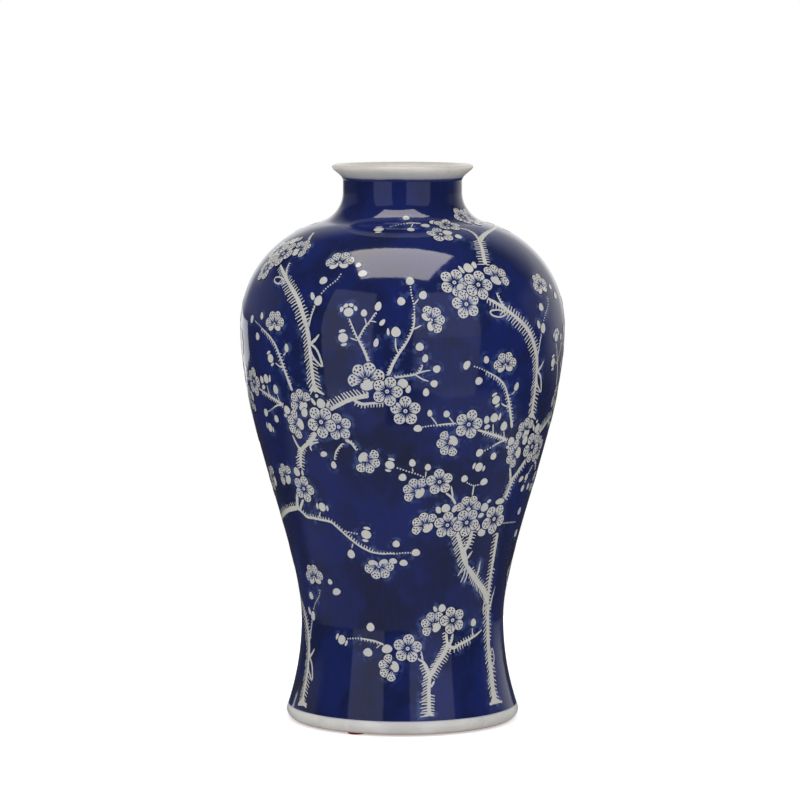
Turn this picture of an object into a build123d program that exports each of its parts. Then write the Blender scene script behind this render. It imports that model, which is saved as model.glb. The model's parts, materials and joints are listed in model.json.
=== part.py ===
from build123d import *
from math import hypot, sqrt
import os

# A meiping vase of glazed porcelain, in millimetres, standing on the table at z = 0 with its axis on Z.
# The vase is thrown in six sections: a foot ring, a lower body with the floor in it, an upper body, a shoulder,
# a neck and a mouth rim. They are luted together with slip, and the foot ring stands on three felt pads.
# Every outline point is (distance from the axis, height above the table).

# Felt pads
pad_diameter = 11.0
pad_thickness = 1.2
pad_count = 3
first_pad_angle = 244.0

# Foot: a flared standing ring with a white band, around a recessed floor
foot_widest_radius = 73.3
foot_widest_rise = 5.3
foot_edge_inset = 2.8
ring_width = 12.0
ring_edge_rounding = 1.0
foot_edge_bulge = 0.9
white_band_rise = 8.5
floor_clearance = 1.0
recess_rounding = 3.0
floor_thickness = 8.0
floor_rounding = 7.0

# Body: an inward waist, an S-shaped side and a round shoulder
waist_radius = 63.8
waist_rise = 62.8
waist_pull = 44.0
belly_radius = 101.9
belly_rise = 185.0
belly_pull = 62.0
shoulder_rounding = 67.0

# Neck and lip
neck_radius = 37.3
neck_rounding = 20.0
neck_straight = 7.1
lip_radius = 44.4
lip_flare_rise = 6.9
lip_bead_radius = 3.0
lip_pull = 3.4
mouth_pull = 4.5

# Wall, and the luted seams between the sections
wall = 6.0
slip_thickness = 1.0
tongue_depth = 2.0
seam_overreach = 2.0
body_seam_rise = 88.0
neck_seam_drop = 12.5

# Radii and heights that follow from the sizes above
ring_outer_radius = foot_widest_radius - foot_edge_inset
ring_inner_radius = ring_outer_radius - ring_width
foot_bottom = pad_thickness
foot_widest_height = foot_bottom + foot_widest_rise
foot_seam_height = foot_bottom + white_band_rise
floor_underside = foot_seam_height + slip_thickness + floor_clearance
floor_top = floor_underside + floor_thickness
waist_height = foot_bottom + waist_rise
belly_height = waist_height + belly_rise

# Centres of the round stretches of the outline, which the outside and the inside of the wall share
foot_flare = foot_widest_radius - waist_radius
foot_drop = waist_height - foot_widest_height
flare_rounding = (foot_drop**2 + foot_flare**2) / (2 * foot_flare)
flare_centre = (waist_radius + flare_rounding, waist_height)
shoulder_centre = (belly_radius - shoulder_rounding, belly_height)
neck_centre_radius = neck_radius + neck_rounding
neck_centre_rise = sqrt(
    (shoulder_rounding + neck_rounding) ** 2 - (neck_centre_radius - shoulder_centre[0]) ** 2
)
neck_centre = (neck_centre_radius, belly_height + neck_centre_rise)
rim_height = neck_centre[1] + neck_straight
lip_widest_height = rim_height + lip_flare_rise
mouth_height = lip_widest_height + lip_bead_radius


def toward(start, end, distance):
    """The point at a distance from start on the straight line to end."""
    share = distance / hypot(end[0] - start[0], end[1] - start[1])
    return (start[0] + share * (end[0] - start[0]), start[1] + share * (end[1] - start[1]))


def arc(centre, start, end):
    """The shorter arc about a centre from start to end."""
    chord_middle = ((start[0] + end[0]) / 2, (start[1] + end[1]) / 2)
    radius = hypot(start[0] - centre[0], start[1] - centre[1])
    return ThreePointArc(start, toward(centre, chord_middle, radius), end)


def body_line(inset, low_point):
    """The side of the body from low_point up to the straight neck, set in from the outside by inset."""
    waist = (waist_radius - inset, waist_height)
    belly = (belly_radius - inset, belly_height)
    shoulder_end = toward(shoulder_centre, neck_centre, shoulder_rounding - inset)
    neck_start = (neck_radius - inset, neck_centre[1])
    return [
        arc(flare_centre, low_point, waist),
        Bezier(waist, (waist[0], waist[1] + waist_pull), (belly[0], belly[1] - belly_pull), belly),
        arc(shoulder_centre, belly, shoulder_end),
        arc(neck_centre, shoulder_end, neck_start),
    ]


def foot_line():
    """The underside from the axis out to the widest point of the foot."""
    return [
        FilletPolyline(
            (0, floor_underside),
            (ring_inner_radius, floor_underside),
            (ring_inner_radius, foot_bottom),
            (ring_outer_radius, foot_bottom),
            radius=[recess_rounding, ring_edge_rounding],
        ),
        SagittaArc(
            (ring_outer_radius, foot_bottom), (foot_widest_radius, foot_widest_height), -foot_edge_bulge
        ),
    ]


def mouth_line():
    """The straight neck, the lip and the mouth, from the outside of the neck over to its inside."""
    bore_radius = neck_radius - wall
    neck_end = (neck_radius, rim_height)
    lip_edge = (lip_radius, lip_widest_height)
    lip_top = (lip_radius - lip_bead_radius, mouth_height)
    bore_end = (bore_radius, rim_height)
    return [
        Line((neck_radius, neck_centre[1]), neck_end),
        Bezier(
            neck_end, (neck_radius, rim_height + lip_pull), (lip_radius, lip_widest_height - lip_pull), lip_edge
        ),
        arc((lip_top[0], lip_widest_height), lip_edge, lip_top),
        Bezier(
            lip_top, (lip_top[0] - mouth_pull, mouth_height), (bore_radius, rim_height + mouth_pull), bore_end
        ),
        Line(bore_end, (bore_radius, neck_centre[1])),
    ]


def floor_line():
    """The floor inside, with its rounded corner, and the point where the corner meets the wall."""
    corner_height = floor_top + floor_rounding
    reach = flare_rounding + wall + floor_rounding
    corner_radius = flare_centre[0] - sqrt(reach**2 - (waist_height - corner_height) ** 2)
    corner = (corner_radius, corner_height)
    wall_point = toward(flare_centre, corner, flare_rounding + wall)
    floor_point = (corner_radius, floor_top)
    return [arc(corner, wall_point, floor_point), Line(floor_point, (0, floor_top))], wall_point


def turn(outline):
    """The solid that an outline sweeps around the axis of the vase."""
    return revolve(Plane.XZ * outline, Axis.Z)


# The whole wall, before it is divided into the sections that are thrown
floor_edges, floor_wall_point = floor_line()
wall_outline = make_face(
    foot_line()
    + body_line(0, (foot_widest_radius, foot_widest_height))
    + mouth_line()
    + body_line(wall, floor_wall_point)
    + floor_edges
    + [Line((0, floor_top), (0, floor_underside))]
)
whole_wall = turn(wall_outline)


def seam_band(height):
    """The V-shaped ring of space that slip fills where one section's tongue sits in the next one's groove."""
    crossing = wall_outline.intersect(Edge.make_line((0, height), (2 * belly_radius, height)))
    radii = sorted(point.X for edge in crossing for point in (edge @ 0, edge @ 1))
    middle = (radii[0] + radii[-1]) / 2
    inside = radii[0] - seam_overreach
    outside = radii[-1] + seam_overreach
    low = [(inside, height), (middle, height - tongue_depth), (outside, height)]
    high = [(radius, level + slip_thickness) for radius, level in reversed(low)]
    return turn(make_face(Polyline(*low, *high, close=True)))


seam_heights = {
    "foot_seam_slip": foot_seam_height,
    "body_seam_slip": waist_height + body_seam_rise,
    "belly_seam_slip": belly_height,
    "neck_seam_slip": neck_centre[1] - neck_seam_drop,
    "rim_seam_slip": rim_height,
}
seam_bands = {name: seam_band(height) for name, height in seam_heights.items()}
section_names = ["foot_ring", "lower_body", "upper_body", "shoulder", "neck", "mouth_rim"]

# Sections from the table up, the slip in each seam, and the pads under the standing ring
sections = (whole_wall - list(seam_bands.values())).solids().sort_by(Axis.Z)
pieces = dict(zip(section_names, sections, strict=True))
for name, band in seam_bands.items():
    pieces[name] = whole_wall & band
pad_circle_radius = (ring_inner_radius + ring_edge_rounding + ring_outer_radius) / 2
for number in range(pad_count):
    pad = Cylinder(pad_diameter / 2, pad_thickness, align=(Align.CENTER, Align.CENTER, Align.MIN))
    place = Rot(Z=first_pad_angle + number * 360 / pad_count) * Pos(X=pad_circle_radius)
    pieces[f"felt_pad_{number + 1}"] = place * pad

os.makedirs("parts", exist_ok=True)
for name, piece in pieces.items():
    export_step(piece, f"parts/{name}.step")
print(f"vase: {mouth_height:.1f} high, {2 * belly_radius:.1f} across, {len(pieces)} pieces")
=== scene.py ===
# %% [markdown]
# A blue and white meiping vase, made as a lesson
#
# The vase is porcelain: white clay, a deep cobalt ground brushed over the outside, plum branches and
# blossoms left in white, and one clear glaze over everything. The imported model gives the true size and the
# separate sections. This script dresses them: it throws the glazed walls again with a fine mesh, paints the
# branches as thin shapes that lie on the glaze, and lights the vase as a studio does.

# %% The frame
import json
import math
import random
import bpy
import numpy as np
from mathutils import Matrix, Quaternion, Vector, noise

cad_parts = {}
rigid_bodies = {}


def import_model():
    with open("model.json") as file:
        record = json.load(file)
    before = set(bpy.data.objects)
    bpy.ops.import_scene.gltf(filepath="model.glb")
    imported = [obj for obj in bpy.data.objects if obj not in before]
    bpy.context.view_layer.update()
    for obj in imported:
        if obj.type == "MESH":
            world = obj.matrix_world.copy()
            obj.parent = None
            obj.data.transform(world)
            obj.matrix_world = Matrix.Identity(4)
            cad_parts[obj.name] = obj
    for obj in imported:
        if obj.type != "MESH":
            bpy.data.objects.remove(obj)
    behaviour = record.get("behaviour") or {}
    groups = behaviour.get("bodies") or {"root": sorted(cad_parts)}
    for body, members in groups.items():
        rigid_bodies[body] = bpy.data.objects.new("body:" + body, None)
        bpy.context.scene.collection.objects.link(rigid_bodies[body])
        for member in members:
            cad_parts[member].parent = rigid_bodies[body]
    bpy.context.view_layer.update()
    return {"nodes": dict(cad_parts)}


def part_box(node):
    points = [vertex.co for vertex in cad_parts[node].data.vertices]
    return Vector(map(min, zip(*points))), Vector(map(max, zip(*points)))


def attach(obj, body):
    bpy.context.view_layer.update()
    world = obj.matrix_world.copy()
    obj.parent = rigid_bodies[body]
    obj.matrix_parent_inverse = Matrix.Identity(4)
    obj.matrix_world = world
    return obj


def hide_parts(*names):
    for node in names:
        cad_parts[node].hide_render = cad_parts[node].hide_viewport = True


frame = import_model()
mm = 0.001
print("sections and pads in the frame:", ", ".join(sorted(frame["nodes"])))

# %% [markdown]
# The camera
#
# The photograph looks slightly down on the vase with a long lens, so the mouth shows as a thin ellipse and
# the foot as a shallow curve. A wide lens near the vase would bend both more. The camera stands 2.35 m away
# and a little above the mouth, tilted down by under six degrees.

# %% The camera
lens_length = 168.75
sensor_width = 36.0
camera_place = (-0.00157, -2.35, 0.432)
camera_tilt = 84.4


def in_scene(name, data):
    """A new object that holds some data, in the scene."""
    holder = bpy.data.objects.new(name, data)
    bpy.context.collection.objects.link(holder)
    return holder


camera_data = bpy.data.cameras.new("camera")
camera_data.lens = lens_length
camera_data.sensor_width = sensor_width
camera = in_scene("camera", camera_data)
camera.location = camera_place
camera.rotation_euler = (math.radians(camera_tilt), 0, 0)
bpy.context.scene.camera = camera
print("camera at", tuple(round(value, 3) for value in camera.location))

# %% [markdown]
# The side of the vase
#
# A thrown pot is one outline turned about an axis. The outline could be traced point by point, but a
# thrower thinks in a few curves: a flared foot, an S-shaped side, a round shoulder and a small neck. The
# same arcs and pulled curves that shape the solids are repeated here, in millimetres, as points (distance
# from axis, height).

# %% The side of the vase
pad_thickness = 1.2
ring_outer_radius = 70.5
ring_inner_radius = 58.5
foot_widest = (73.3, 6.5)
foot_edge_bulge = 0.9
band_height = 9.7
recess_rounding = 3.0
floor_underside = 11.7
floor_top = 19.7
floor_rounding = 7.0
waist = (63.8, 64.0)
waist_pull = 44.0
belly = (101.9, 249.0)
belly_pull = 62.0
shoulder_rounding = 67.0
neck_radius = 37.3
neck_rounding = 20.0
neck_straight = 7.1
neck_row_rise = 3.5
lip_radius = 44.4
lip_flare_rise = 6.9
lip_bead_radius = 3.0
mouth_pull = 4.5
wall = 6.0
body_seam_height = 152.0
outside_spacing = 1.3
inside_spacing = 5.0
ruler_spacing = 0.5

flare_width = foot_widest[0] - waist[0]
flare_drop = waist[1] - foot_widest[1]
flare_rounding = (flare_drop**2 + flare_width**2) / (2 * flare_width)
flare_centre = (waist[0] + flare_rounding, waist[1])
shoulder_centre = (belly[0] - shoulder_rounding, belly[1])
neck_reach = shoulder_rounding + neck_rounding
neck_centre_radius = neck_radius + neck_rounding
neck_rise = math.sqrt(neck_reach**2 - (neck_centre_radius - shoulder_centre[0]) ** 2)
neck_centre = (neck_centre_radius, belly[1] + neck_rise)
rim_height = neck_centre[1] + neck_straight
lip_widest_height = rim_height + lip_flare_rise
mouth_height = lip_widest_height + lip_bead_radius
print("mouth at", round(mouth_height, 1), "mm, belly", 2 * belly[0], "mm across")


# %% Curves of the side
def toward(start, end, distance):
    """The point at a distance from start on the straight line to end."""
    share = distance / math.dist(start, end)
    return (start[0] + share * (end[0] - start[0]), start[1] + share * (end[1] - start[1]))


def arc(centre, start, end, spacing):
    """Points of the shorter arc about a centre, from start to end."""
    first = math.atan2(start[1] - centre[1], start[0] - centre[0])
    last = math.atan2(end[1] - centre[1], end[0] - centre[0])
    sweep = (last - first + math.pi) % (2 * math.pi) - math.pi
    radius = math.dist(centre, start)
    steps = max(2, round(abs(sweep) * radius / spacing))
    points = []
    for step in range(steps + 1):
        angle = first + sweep * step / steps
        points.append((centre[0] + radius * math.cos(angle), centre[1] + radius * math.sin(angle)))
    return points


def pulled(start, start_pull, end_pull, end, spacing):
    """Points of a Bezier curve with two pull points."""
    steps = max(2, round(math.dist(start, end) / spacing))
    points = []
    for step in range(steps + 1):
        t = step / steps
        weights = ((1 - t) ** 3, 3 * t * (1 - t) ** 2, 3 * t * t * (1 - t), t**3)
        corners = (start, start_pull, end_pull, end)
        points.append(tuple(sum(w * c[axis] for w, c in zip(weights, corners)) for axis in (0, 1)))
    return points


def body_side(inset, low_point, spacing):
    """The side from a low point up to the top of the neck, set in from the outside by inset."""
    low = (waist[0] - inset, waist[1])
    wide = (belly[0] - inset, belly[1])
    shoulder_end = toward(shoulder_centre, neck_centre, shoulder_rounding - inset)
    neck_start = (neck_radius - inset, neck_centre[1])
    points = arc(flare_centre, low_point, low, spacing)
    points += pulled(low, (low[0], low[1] + waist_pull), (wide[0], wide[1] - belly_pull), wide, spacing)[1:]
    points += arc(shoulder_centre, wide, shoulder_end, spacing)[1:]
    points += arc(neck_centre, shoulder_end, neck_start, spacing)[1:]
    return points + [(neck_start[0], neck_start[1] + neck_row_rise), (neck_start[0], rim_height)]


def at_height(points, height):
    """The point of a rising line of points at a height."""
    radii = [point[0] for point in points]
    heights = [point[1] for point in points]
    return (float(np.interp(height, heights, radii)), height)


def stretch(points, low, high, clear=0.2):
    """The part of a rising line between two heights, with both ends and no point within clear of them."""
    inner = [point for point in points if low + clear < point[1] < high - clear]
    return [at_height(points, low)] + inner + [at_height(points, high)]


outside = body_side(0, foot_widest, outside_spacing)
print("points on the outside of the wall:", len(outside))

# %% [markdown]
# The painter's ruler
#
# A painter works on the turning pot with two measures: how far round, and how far up the side along the
# curve. So the outside line is also kept as a curve object that starts at the border of the white foot
# band. A node tree can ask that curve for the point at any length, which is how flat drawings are laid on
# the round side.

# %% The painter's ruler
fine_side = stretch(body_side(0, foot_widest, ruler_spacing), band_height, rim_height)
side_radius = np.array([point[0] for point in fine_side])
side_height = np.array([point[1] for point in fine_side])
steps_up = np.hypot(np.diff(side_radius), np.diff(side_height))
side_length = np.concatenate([[0.0], np.cumsum(steps_up)])
slope_out = np.gradient(side_radius, side_length)
slope_up = np.gradient(side_height, side_length)


def radius_at(up):
    """The radius of the vase at a length up its side, in millimetres."""
    return float(np.interp(up, side_length, side_radius))


ruler_data = bpy.data.curves.new("painters_ruler", "CURVE")
ruler_data.dimensions = "3D"
ruler_line = ruler_data.splines.new("POLY")
ruler_line.points.add(len(fine_side) - 1)
for point, (radius, height) in zip(ruler_line.points, fine_side):
    point.co = (radius * mm, 0, height * mm, 1)
ruler = in_scene("painters_ruler", ruler_data)
print("length up the blue side:", round(side_length[-1], 1), "mm")


# %% [markdown]
# Building node trees
#
# Every repeated shape here comes out of Geometry Nodes, and every finish out of shader nodes. Both kinds of
# tree are built by the same small helper: it adds a node, sets its options, and joins each input to a
# socket or gives it a plain value. Another helper runs a geometry tree on an object and keeps the result as
# a plain mesh.

# %% Building node trees
class Tree:
    """One node tree, with named inputs and outputs."""

    def __init__(self, name, kind, inputs, outputs):
        self.group = bpy.data.node_groups.new(name, kind)
        for label, socket in inputs:
            self.group.interface.new_socket(label, in_out="INPUT", socket_type=socket)
        for label, socket in outputs:
            self.group.interface.new_socket(label, in_out="OUTPUT", socket_type=socket)
        self.nodes = self.group.nodes
        self.links = self.group.links
        self.given = self.nodes.new("NodeGroupInput").outputs
        self.result = self.nodes.new("NodeGroupOutput").inputs

    def add(self, kind, inputs, **options):
        """A new node; an input is named or numbered, and takes a socket or a plain value."""
        node = self.nodes.new(kind)
        for name, value in options.items():
            setattr(node, name, value)
        for key, value in inputs.items():
            if isinstance(value, bpy.types.NodeSocket):
                self.links.new(value, node.inputs[key])
            else:
                node.inputs[key].default_value = value
        return node

    def math(self, operation, first, second=0.0, third=0.0):
        """The result of a Math node."""
        return self.add("ShaderNodeMath", {0: first, 1: second, 2: third}, operation=operation).outputs[0]

    def times(self, first, *others):
        """Numbers multiplied together."""
        for other in others:
            first = self.math("MULTIPLY", first, other)
        return first

    def plus(self, base, value, share):
        """A base number with a share of another value added."""
        return self.math("MULTIPLY_ADD", value, share, base)

    def vector(self, x, y, z):
        """Three numbers as one vector."""
        return self.add("ShaderNodeCombineXYZ", {0: x, 1: y, 2: z}).outputs[0]

    def parts(self, vector):
        """One vector as three numbers."""
        return self.add("ShaderNodeSeparateXYZ", {0: vector}).outputs

    def stored(self, name, data_type="FLOAT"):
        """A value that the mesh carries by name."""
        return self.add("GeometryNodeInputNamedAttribute", {"Name": name}, data_type=data_type).outputs[0]

    def give(self, label, socket):
        """Joins a socket to one of the tree's outputs."""
        self.links.new(socket, self.result[label])


def grown(base, tree, values, name):
    """Runs a geometry tree on a base object and keeps the result as a plain mesh object."""
    change = base.modifiers.new("tree", "NODES")
    change.node_group = tree.group
    for item in tree.group.interface.items_tree:
        if item.in_out == "INPUT" and item.name in values:
            change[item.identifier] = values[item.name]
    graph = bpy.context.evaluated_depsgraph_get()
    mesh = bpy.data.meshes.new_from_object(
        base.evaluated_get(graph), preserve_all_data_layers=True, depsgraph=graph
    )
    base.modifiers.remove(change)
    bpy.data.objects.remove(base)
    mesh.name = name
    return in_scene(name, mesh)


def triangles(mesh):
    """How many triangles a mesh makes."""
    mesh.calc_loop_triangles()
    return len(mesh.loop_triangles)


def line_object(name, points):
    """A line of points in the XZ plane as an object, for a tree to read."""
    mesh = bpy.data.meshes.new(name)
    edges = [(index, index + 1) for index in range(len(points) - 1)]
    mesh.from_pydata([(x * mm, 0, z * mm) for x, z in points], edges, [])
    return in_scene(name, mesh)


print("helpers ready")

# %% [markdown]
# The glaze finishes
#
# Blue and white has one clear glaze over two colours. Under it the cobalt is never even: the brush leaves
# upright streaks, the colour pools into clouds, and thin dark lines like cracks in ice divide it. A plain
# blue would look like plastic. Two shader groups hold what the finishes share, the unevenness of the glaze
# and the clouds and streaks of the wash, and a third draws the ice lines of the ground.

# %% Shared groups for the glaze
def surface_place(tree):
    """Object coordinates, which stay with the piece."""
    return tree.add("ShaderNodeTexCoord", {}).outputs["Object"]


def noise_value(tree, place, scale, detail=3.0, roughness=0.55):
    """The value of a noise texture."""
    inputs = {"Vector": place, "Scale": scale, "Detail": detail, "Roughness": roughness}
    return tree.add("ShaderNodeTexNoise", inputs).outputs[0]


def ranged(tree, value, low, high, below=0.0, above=1.0):
    """A number that moves smoothly from below to above while a value goes from low to high."""
    inputs = {0: value, 1: low, 2: high, 3: below, 4: above}
    return tree.add("ShaderNodeMapRange", inputs, interpolation_type="SMOOTHSTEP").outputs[0]


def faded(tree, value, low, high):
    """The same the other way round: 1 up to low, and smoothly down to 0 at high."""
    return ranged(tree, value, low, high, 1.0, 0.0)


def blended(tree, share, first, second):
    """Two colours mixed by a share."""
    return tree.add("ShaderNodeMix", {0: share, 6: first, 7: second}, data_type="RGBA").outputs[2]


number = "NodeSocketFloat"
glaze_skin = Tree(
    "glaze_skin", "ShaderNodeTree",
    [("Smooth", number), ("Rough", number)],
    [("Roughness", number), ("Height", number)],
)
place = surface_place(glaze_skin)
orange_peel = noise_value(glaze_skin, place, scale=55.0, detail=2.0)
pin_marks = noise_value(glaze_skin, place, scale=420.0, detail=1.0)
pin_share = 0.12
patchy = ranged(glaze_skin, noise_value(glaze_skin, place, scale=18.0, detail=4.0), 0.3, 0.75)
spread = glaze_skin.math("SUBTRACT", glaze_skin.given["Rough"], glaze_skin.given["Smooth"])
glaze_skin.give("Roughness", glaze_skin.plus(glaze_skin.given["Smooth"], patchy, spread))
glaze_skin.give("Height", glaze_skin.plus(orange_peel, pin_marks, pin_share))

wash = Tree(
    "cobalt_wash", "ShaderNodeTree",
    [("Cloud size", number), ("Patch size", number), ("Streak size", number)],
    [("Clouds", number), ("Patches", number), ("Streaks", number)],
)
place = surface_place(wash)
brush_stretch = (1.0, 1.0, 0.16)
upright = wash.add("ShaderNodeMapping", {"Vector": place, "Scale": brush_stretch}).outputs[0]
clouds = noise_value(wash, place, wash.given["Cloud size"], detail=4.0, roughness=0.55)
patches = noise_value(wash, place, wash.given["Patch size"], detail=3.0, roughness=0.6)
streaks = noise_value(wash, upright, wash.given["Streak size"], detail=3.0, roughness=0.5)
wash.give("Clouds", ranged(wash, clouds, 0.36, 0.66))
wash.give("Patches", ranged(wash, patches, 0.44, 0.6))
wash.give("Streaks", ranged(wash, streaks, 0.35, 0.7))

ice = Tree("ice_lines", "ShaderNodeTree", [("Cell size", number), ("Width", number)], [("Lines", number)])
place = surface_place(ice)
wobble = ice.add("ShaderNodeTexNoise", {"Vector": place, "Scale": 30.0, "Detail": 2.0}).outputs[1]
wobble_size = (0.014, 0.014, 0.014)
shifted = ice.add(
    "ShaderNodeVectorMath", {0: wobble, 1: wobble_size, 2: place}, operation="MULTIPLY_ADD"
).outputs[0]
cells = ice.add(
    "ShaderNodeTexVoronoi", {"Vector": shifted, "Scale": ice.given["Cell size"]}, feature="DISTANCE_TO_EDGE"
).outputs[0]
lines = ice.add("ShaderNodeMapRange", {0: cells, 1: 0.0, 2: ice.given["Width"], 3: 1.0, 4: 0.0}).outputs[0]
shown = ranged(ice, noise_value(ice, place, scale=14.0, detail=2.0), 0.42, 0.62)
ice.give("Lines", ice.times(lines, shown))
print("shader groups:", glaze_skin.group.name, wash.group.name, ice.group.name)


# %% A helper for materials
glaze_ior = 1.5
glaze_bump = 0.25


class Shading(Tree):
    """A helper for a node tree that exists already."""

    def __init__(self, node_tree):
        self.nodes = node_tree.nodes
        self.links = node_tree.links

    def use(self, tree, values):
        """Places a shared group in this tree."""
        return self.add("ShaderNodeGroup", values, node_tree=tree.group).outputs


class Finish(Shading):
    """A material whose Principled shader is fed by the shared groups."""

    def __init__(self, name, shader_values):
        self.material = bpy.data.materials.new(name)
        self.material.use_nodes = True
        super().__init__(self.material.node_tree)
        self.shader = self.nodes["Principled BSDF"]
        for label, value in shader_values.items():
            self.shader.inputs[label].default_value = value

    def feed(self, label, socket):
        """Joins a socket to an input of the shader."""
        self.links.new(socket, self.shader.inputs[label])

    def carried(self, name):
        """A number that the mesh carries by name."""
        return self.add("ShaderNodeAttribute", {}, attribute_name=name).outputs["Fac"]

    def washed(self, cloud, patch, streak):
        """The clouds, patches and streaks of a wash, each in its own size."""
        return self.use(wash, {"Cloud size": cloud, "Patch size": patch, "Streak size": streak})

    def glazed(self, smooth, rough, depth, bare=0.0, dull=0.0):
        """Gives the shader the roughness and the faint waves of a fired glaze, duller where it is bare."""
        skin = self.use(glaze_skin, {"Smooth": smooth, "Rough": rough})
        roughness = self.plus(skin["Roughness"], bare, dull) if dull else skin["Roughness"]
        self.feed("Roughness", roughness)
        waves = {"Strength": glaze_bump, "Distance": depth, "Height": skin["Height"]}
        self.feed("Normal", self.add("ShaderNodeBump", waves).outputs[0])


print("materials can use:", glaze_skin.group.name, wash.group.name, ice.group.name)

# %% The cobalt ground and the pen lines
cobalt_deep = (0.0066, 0.0100, 0.032, 1)
cobalt_mid = (0.0078, 0.0143, 0.087, 1)
cobalt_bright = (0.0110, 0.0225, 0.158, 1)
cobalt_pale = (0.055, 0.090, 0.225, 1)
pen_full = (0.0070, 0.0125, 0.060, 1)
pen_thin = (0.0150, 0.0290, 0.130, 1)
cloud_share = 0.5
bright_share = 0.26
pale_share = 0.72
ice_share = 0.16

ground_finish = Finish("cobalt_ground", {"IOR": glaze_ior})
layers = ground_finish.washed(cloud=15.0, patch=32.0, streak=80.0)
broad = ground_finish.washed(cloud=5.0, patch=48.0, streak=24.0)
fine = ground_finish.washed(cloud=260.0, patch=130.0, streak=330.0)
amount = ground_finish.times(layers["Clouds"], cloud_share)
for brushed, share in ((layers, 0.13), (broad, 0.17), (fine, 0.22)):
    amount = ground_finish.plus(amount, brushed["Streaks"], share)
ground = blended(ground_finish, amount, cobalt_deep, cobalt_mid)
bright = ground_finish.times(layers["Patches"], bright_share)
ground = blended(ground_finish, bright, ground, cobalt_bright)
speckle = ground_finish.times(broad["Patches"], ranged(ground_finish, fine["Clouds"], 0.25, 0.75))
pale = ground_finish.times(speckle, ground_finish.carried("beside_white"), pale_share)
ground = blended(ground_finish, pale, ground, cobalt_pale)
lines = ground_finish.use(ice, {"Cell size": 30.0, "Width": 0.03})
dark = ground_finish.times(lines["Lines"], ice_share)
ground_finish.feed("Base Color", blended(ground_finish, dark, ground, cobalt_deep))
ground_finish.glazed(smooth=0.05, rough=0.1, depth=0.0004)
cobalt_ground = ground_finish.material

pen_finish = Finish("cobalt_pen", {"IOR": glaze_ior})
layers = pen_finish.washed(cloud=60.0, patch=90.0, streak=90.0)
pen_finish.feed("Base Color", blended(pen_finish, layers["Clouds"], pen_full, pen_thin))
pen_finish.glazed(smooth=0.05, rough=0.1, depth=0.0004)
cobalt_pen = pen_finish.material
print("blues:", cobalt_ground.name, cobalt_pen.name)

# %% The white paint and the lining
petal_blue = (0.26, 0.31, 0.44, 1)
petal_blue_share = 0.55
shade_share = 0.6


def white_finish(name, clay, shade, smooth, rough):
    """White slip under the glaze, greyer where that is thicker and tinted where a petal is washed blue."""
    finish = Finish(name, {"IOR": glaze_ior})
    layers = finish.washed(cloud=60.0, patch=120.0, streak=90.0)
    base = blended(finish, finish.times(layers["Clouds"], shade_share), clay, shade)
    tint = finish.times(finish.carried("blue_tint"), petal_blue_share)
    finish.feed("Base Color", blended(finish, tint, base, petal_blue))
    finish.glazed(smooth, rough, depth=0.0003)
    return finish.material


white_paint = white_finish("white_paint", (0.508, 0.500, 0.450, 1), (0.432, 0.432, 0.405, 1), 0.06, 0.12)
white_lining = white_finish("white_lining", (0.62, 0.61, 0.57, 1), (0.55, 0.55, 0.53, 1), 0.06, 0.14)
print("whites:", white_paint.name, white_lining.name)

# %% [markdown]
# The white lip and the white foot
#
# The lip and the band of the foot are left white. The lip is creamy, darker on its top and greyer towards
# the neck: both are painted shade, the top held down under the overhead lamp and the underside shaded as
# under a rounded lip. On the foot the glaze stops just above the table and leaves a thin line of bare clay,
# which the kiln flushes pink and orange. A separate ring of clay could be modelled, but the glaze edge has
# no thickness that shows, so the colours change with height in the material instead.

# %% The lip and foot finishes
border_soft = (0.0015, 0.0005)
waver_size = 0.0012
thick_grey = 0.86
crown_rise = 0.003
bleed_share = 0.55
flush_rise = 0.0011


def banded_white(name, clay, crown, bleed, bare, outer, painted_underside_shade=None):
    """White glaze whose colour changes with height, in metres.

    crown is (colour, height) near the top; on the lip the darker crown is painted shade under the overhead
    lamp. bleed is (colour, height, width) of the blue that runs in at the painted border. bare is (colour,
    height, dull): below that height the finish takes the colour and loses its gloss by dull, and with dull
    at 0 the colour is paint. pool is (colour, low height, high height): painted shade that greys the finish
    towards the low height. Bleed, paint and pool keep outside the radius outer.
    """
    finish = Finish(name, {"IOR": glaze_ior})
    place = surface_place(finish)
    across, along, level = finish.parts(place)
    radius = finish.math("SQRT", finish.plus(finish.times(along, along), across, across))
    outside = ranged(finish, radius, outer - border_soft[0], outer - border_soft[1])
    waver = finish.plus(-waver_size / 2, noise_value(finish, place, scale=60.0, detail=2.0), waver_size)
    level = finish.math("ADD", level, waver)
    layers = finish.washed(cloud=45.0, patch=80.0, streak=60.0)
    grey = tuple(thick_grey * part for part in clay[:3]) + (1,)
    base = blended(finish, layers["Clouds"], clay, grey)
    # Towards the top the colour turns to the crown's; on the lip this darker top is painted shade that holds
    # down the overhead lamp.
    base = blended(finish, ranged(finish, level, crown[1] - crown_rise, crown[1]), base, crown[0])
    # Painted shade: below the high height the colour greys towards the low height, as under a rounded lip.
    if painted_underside_shade:
        underside_shaded = finish.times(faded(finish, level, painted_underside_shade[1], painted_underside_shade[2]), outside)
        base = blended(finish, underside_shaded, base, painted_underside_shade[0])
    distance = finish.math("ABSOLUTE", finish.math("SUBTRACT", level, bleed[1]))
    edge = finish.times(faded(finish, distance, 0.0, bleed[2]), outside, bleed_share)
    base = blended(finish, edge, base, bleed[0])
    bare_colour, bare_height, dull = bare
    flush = faded(finish, level, bare_height, bare_height + flush_rise)
    if not dull:
        flush = finish.times(flush, outside)
    finish.feed("Base Color", blended(finish, flush, base, bare_colour))
    finish.glazed(smooth=0.24, rough=0.34, depth=0.0004, bare=flush, dull=dull)
    return finish.material


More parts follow.
